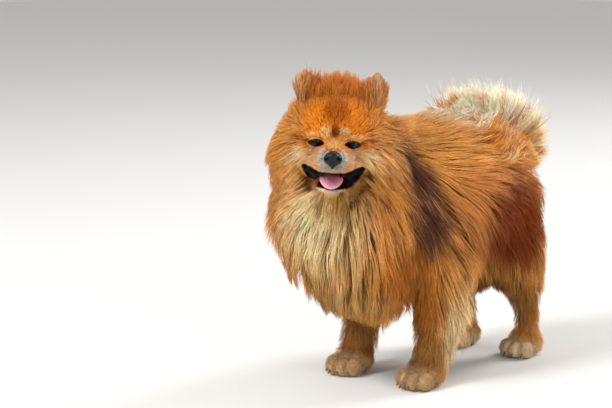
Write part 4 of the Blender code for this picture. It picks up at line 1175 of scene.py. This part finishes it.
# %% Part the coat into pieces
LEG_TOP, MANE_END, RIBS_END, PLUME_MIDDLE = 84, -95, -10, 62
on_head = (np.abs(head_place[:, 0]) < 60) & (head_place[:, 1] < 58) & (head_place[:, 2] > -62) & ~in_plume
on_legs = ~on_head & ~in_plume & (up < LEG_TOP)
on_trunk = ~on_head & ~in_plume & (up >= LEG_TOP)
in_mane = on_trunk & (back < MANE_END)
in_rump = on_trunk & (back >= RIBS_END)
on_ribs = on_trunk & ~in_mane & ~in_rump
areas = {
    "face": on_head & (length < 11),
    "crown": on_head & (length >= 11) & (head_place[:, 2] >= 20),
    "cheeks": on_head & (length >= 11) & (head_place[:, 2] < 20),
    "plume_front": in_plume & (back < PLUME_MIDDLE),
    "plume_rear": in_plume & (back >= PLUME_MIDDLE),
    "forelegs": on_legs & (back < 0),
    "hind_legs": on_legs & (back >= 0),
}
for name, part, middle in (("mane", in_mane, 5), ("ribs", on_ribs, 0), ("rump", in_rump, 0)):
    areas[name + "_left"] = part & (dog_place[:, 0] >= middle)
    areas[name + "_right"] = part & (dog_place[:, 0] < middle)

coat_pieces = []
for name, chosen in areas.items():
    chosen = np.nonzero(chosen & kept)[0]
    rings = 2 if name == "face" else 4 if name.startswith("plume") else 3
    piece = tuft_mesh("coat_" + name, chosen, rings)
    coat_pieces.append(piece)
    print(name, len(chosen), "tufts,", sum(len(p.vertices) - 2 for p in piece.data.polygons), "triangles")

# %% [markdown]
# ## Eyes
# A dog's eye is nearly all iris, dark brown around a black pupil, under a clear bulging cornea that gives
# the bright spark. The colour runs with the angle from the way the eye looks, stored on the mesh.

# %% Model the eyeballs
PUPIL, WHITE = (0.002, 0.002, 0.003), (1.0, 1.0, 1.0)
IRIS, IRIS_EDGE = (0.045, 0.016, 0.007), (0.016, 0.006, 0.004)
eye_finish, nodes, links, shader = new_finish("eye")
gaze = nodes.new("ShaderNodeAttribute")
gaze.attribute_name = "gaze"
ramp = nodes.new("ShaderNodeValToRGB")
bands = ramp.color_ramp.elements
bands[0].color, bands[1].color = (*PUPIL, 1), (*WHITE, 1)
for position, colour in ((0.30, PUPIL), (0.36, IRIS), (0.62, IRIS_EDGE)):
    bands.new(position).color = (*colour, 1)
links.new(gaze.outputs["Fac"], ramp.inputs["Fac"])
links.new(ramp.outputs["Color"], shader.inputs["Base Color"])
shader.inputs["Roughness"].default_value = 0.05
shader.inputs["Specular IOR Level"].default_value = 0.25


CORNEA_EDGE, CORNEA_BULGE = 0.75, 0.55      # radians from the gaze, and millimetres


def make_eye(name, side):
    """An eyeball with a bulging cornea, which looks ahead and a little outwards."""
    form = bmesh.new()
    add_ball(form, (0, 0, 0), (EYE_RADIUS,) * 3, frame=Matrix.Identity(4), tilt=90, segments=64)
    look = Vector((0.10 * side, -1.0, 0.02)).normalized()
    angles = []
    for vert in form.verts:
        away = vert.co.normalized().angle(look)
        if away < CORNEA_EDGE:
            vert.co += vert.co.normalized() * CORNEA_BULGE * MM * (1 - (away / CORNEA_EDGE) ** 2)
        angles.append(away / (math.pi / 2))
    form.transform(HEAD @ Matrix.Translation(Vector((EYE.x * side, EYE.y + 0.25, EYE.z)) * MM))
    eye = object_of(name, form)
    layer = eye.data.attributes.new("gaze", "FLOAT", "POINT")
    layer.data.foreach_set("value", angles)
    eye.data.shade_smooth()
    eye.data.materials.append(eye_finish)
    return eye


eyes = {name: make_eye("eye_ball_" + name, side) for name, side in (("left", 1), ("right", -1))}
print("eyes:", [len(eye.data.polygons) for eye in eyes.values()], "faces")

# %% [markdown]
# ## Nose
# The nose leather is a moist, pebbled pad. It is wider at the top than below, the nostrils open to the
# sides as commas, and a groove runs down from between them to the lip.

# %% Model the nose
form = bmesh.new()
add_ball(form, tuple(NOSE + Vector((0, 0.8, 0.4))), (7.8, 6.2, 5.0), frame=HEAD)
add_ball_pair(form, (4.6, -34.4, -13.6), (3.9, 3.9, 3.9), frame=HEAD)
add_ball(form, (0, -35.0, -11.6), (5.6, 4.0, 3.8), frame=HEAD)
add_ball(form, (0, -33.6, -16.2), (5.8, 3.6, 3.2), frame=HEAD)
add_limb(form, [((0, -32.6, -16.5), 4.4), ((0, -31.4, -19.2), 2.7), ((0, -30.6, -21.6), 1.2)], frame=HEAD)
nose = run_together(object_of("nose_leather", form), 0.40, 3)
for side in (1, -1):
    form = bmesh.new()
    add_limb(form, [((4.1 * side, -38.6, -13.2), 1.5), ((5.9 * side, -36.6, -13.9), 1.3),
                    ((7.9 * side, -34.4, -12.6), 0.7)], frame=HEAD, segments=16)
    carve(nose, run_together(object_of("nostril form", form), 0.35, 1))
form = bmesh.new()
add_limb(form, [((0, -39.4, -13.0), 0.45), ((0, -37.6, -17.0), 0.55), ((0, -34.6, -19.5), 0.5),
                ((0, -32.0, -23.5), 0.5)], frame=HEAD, segments=12)
carve(nose, run_together(object_of("groove form", form), 0.22, 1))
run_together(nose, 0.35, 1)
nose.data.shade_smooth()
print("nose:", len(nose.data.polygons), "faces")

# %% [markdown]
# The finish is a fine pattern of cells: pebbles that are raised a little, and furrows between them that
# are painted darker as painted shade. A helper colours a finish by a texture from one tone to another, and
# serves the tongue and the claws too.

# %% Make the finish of the nose
def grain_of(nodes, links, shader, kind, output, scale, low, high):
    """Colours a finish from the low to the high tone by a texture, whose output it gives back."""
    where = nodes.new("ShaderNodeTexCoord")
    texture = nodes.new(kind)
    texture.inputs["Scale"].default_value = scale
    links.new(where.outputs["Object"], texture.inputs["Vector"])
    tone = nodes.new("ShaderNodeValToRGB")
    for element, colour in zip(tone.color_ramp.elements, (low, high)):
        element.color = (*colour, 1)
    links.new(texture.outputs[output], tone.inputs["Fac"])
    links.new(tone.outputs["Color"], shader.inputs["Base Color"])
    return texture.outputs[output]


nose_finish, nodes, links, shader = new_finish("nose leather")
# painted shade: the colour runs from the pebbles to darker furrows between them
pebbles = grain_of(nodes, links, shader, "ShaderNodeTexVoronoi", "Distance", 1300.0,
                   (0.008, 0.010, 0.016), (0.003, 0.004, 0.006))
raise_bump(nodes, links, shader, pebbles, 0.3, 0.0002).invert = True
shader.inputs["Roughness"].default_value = 0.36
shader.inputs["Specular IOR Level"].default_value = 0.24
nose.data.materials.append(nose_finish)

# %% [markdown]
# ## Tongue
# The tongue lies in the floor of the mouth with a groove along its middle, and its tip rests on the
# lower lip. It is a flattened ball that is bent and grooved vertex by vertex.

# %% Model the tongue
TONGUE_WIDE, TONGUE_LONG, TONGUE_THICK = 10.6, 14.8, 3.0       # half of what the names say
form = bmesh.new()
bmesh.ops.create_uvsphere(form, u_segments=64, v_segments=40, radius=1.0,
                          matrix=Matrix.Rotation(math.radians(90), 4, "X"))
for vert in form.verts:
    x, y, z = vert.co
    groove = 1.3 * math.exp(-(x / 0.22) ** 2) * max(0.0, z)
    vert.co = Vector((x * TONGUE_WIDE * (1.0 - 0.10 * max(0.0, -y)), y * TONGUE_LONG,
                      z * TONGUE_THICK - groove + 1.5 * abs(x) ** 2.2)) * MM
form.transform(HEAD @ Matrix.Translation(Vector((-1.0, -0.6, -34.2)) * MM)
               @ Matrix.Rotation(math.radians(26), 4, "X"))
tongue = object_of("tongue_flesh", form)
tongue.data.shade_smooth()
print("tongue:", len(tongue.data.polygons), "faces")

# %% Make the finish of the tongue
tongue_finish, nodes, links, shader = new_finish("tongue")
papillae = grain_of(nodes, links, shader, "ShaderNodeTexNoise", "Fac", 1600.0,
                    (0.72, 0.23, 0.34), (0.93, 0.44, 0.58))
papillae.node.inputs["Detail"].default_value = 3.0
raise_bump(nodes, links, shader, papillae, 0.4, 0.0003)
shader.inputs["Roughness"].default_value = 0.35
shader.inputs["Subsurface Weight"].default_value = 0.15
shader.inputs["Subsurface Scale"].default_value = 0.002
tongue.data.materials.append(tongue_finish)

# %% [markdown]
# ## Claws
# Dark curved claws end the toes. Each is a short tapering limb bent towards the floor.

# %% Model the claws
form = bmesh.new()
for name, foot in FEET.items():
    paw = FORE_PAW if name.startswith("fore") else HIND_PAW
    for x, y, z in toes_of(foot, paw):
        y -= paw[0] * 0.40
        add_limb(form, [((x, y + 4.0, z - 2.4), 1.2), ((x, y + 1.2, z - 3.6), 1.0),
                        ((x, y - 0.8, z - 5.8), 0.45)], segments=12)
claws = run_together(object_of("claw_horn", form), 0.35, 1)
claws.data.shade_smooth()
claw_finish, nodes, links, shader = new_finish("claw horn")
grain_of(nodes, links, shader, "ShaderNodeTexNoise", "Fac", 900.0, (0.030, 0.022, 0.018), (0.11, 0.08, 0.06))
shader.inputs["Roughness"].default_value = 0.35
claws.data.materials.append(claw_finish)
print("claws:", len(claws.data.polygons), "faces")

# %% [markdown]
# ## Floor and light
# The stage is a plain pale floor and a pale even sky. A large soft light stands in front of the dog, a
# weaker one fills in its left side, and one from behind lights the edge of the plume.

# %% Set the stage
form = bmesh.new()
bmesh.ops.create_grid(form, x_segments=2, y_segments=2, size=6.0)
floor = object_of("floor", form)
floor_finish, nodes, links, shader = new_finish("pale floor")
shader.inputs["Base Color"].default_value = (0.80, 0.79, 0.77, 1.0)
shader.inputs["Roughness"].default_value = 0.7
floor.data.materials.append(floor_finish)

world = bpy.data.worlds.new("studio")
bpy.context.scene.world = world
world.use_nodes = True
world.node_tree.nodes["Background"].inputs["Color"].default_value = (1.0, 0.985, 0.96, 1.0)
world.node_tree.nodes["Background"].inputs["Strength"].default_value = 0.55


def soft_light(name, place, size, power):
    """A round soft light of the given size in metres, aimed at the dog."""
    lamp = bpy.data.lights.new(name, "AREA")
    lamp.shape, lamp.size, lamp.energy = "DISK", size, power
    made = bpy.data.objects.new(name, lamp)
    made.location = place
    made.rotation_euler = (Vector((0, 0, 0.15)) - Vector(place)).to_track_quat("-Z", "Y").to_euler()
    bpy.context.collection.objects.link(made)


soft_light("key light", (-0.4, -2.2, 2.2), 1.2, 75)
soft_light("fill light", (2.4, -0.2, 1.0), 1.6, 18)
soft_light("rim light", (0.6, 2.2, 1.8), 1.0, 45)
bpy.context.scene.view_settings.view_transform = "Standard"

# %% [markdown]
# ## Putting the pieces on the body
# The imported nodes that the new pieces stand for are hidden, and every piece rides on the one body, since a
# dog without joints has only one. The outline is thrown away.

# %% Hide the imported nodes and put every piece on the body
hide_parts(*FLESH)
for name, eye in eyes.items():
    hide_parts("eye_" + name)
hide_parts("nose")
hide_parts("tongue")
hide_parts(*[name for name in frame["nodes"] if name.startswith("claw")])
for piece in (skin, nose, tongue, claws, *eyes.values(), *coat_pieces):
    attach(piece, "root")
bpy.data.objects.remove(outline, do_unlink=True)
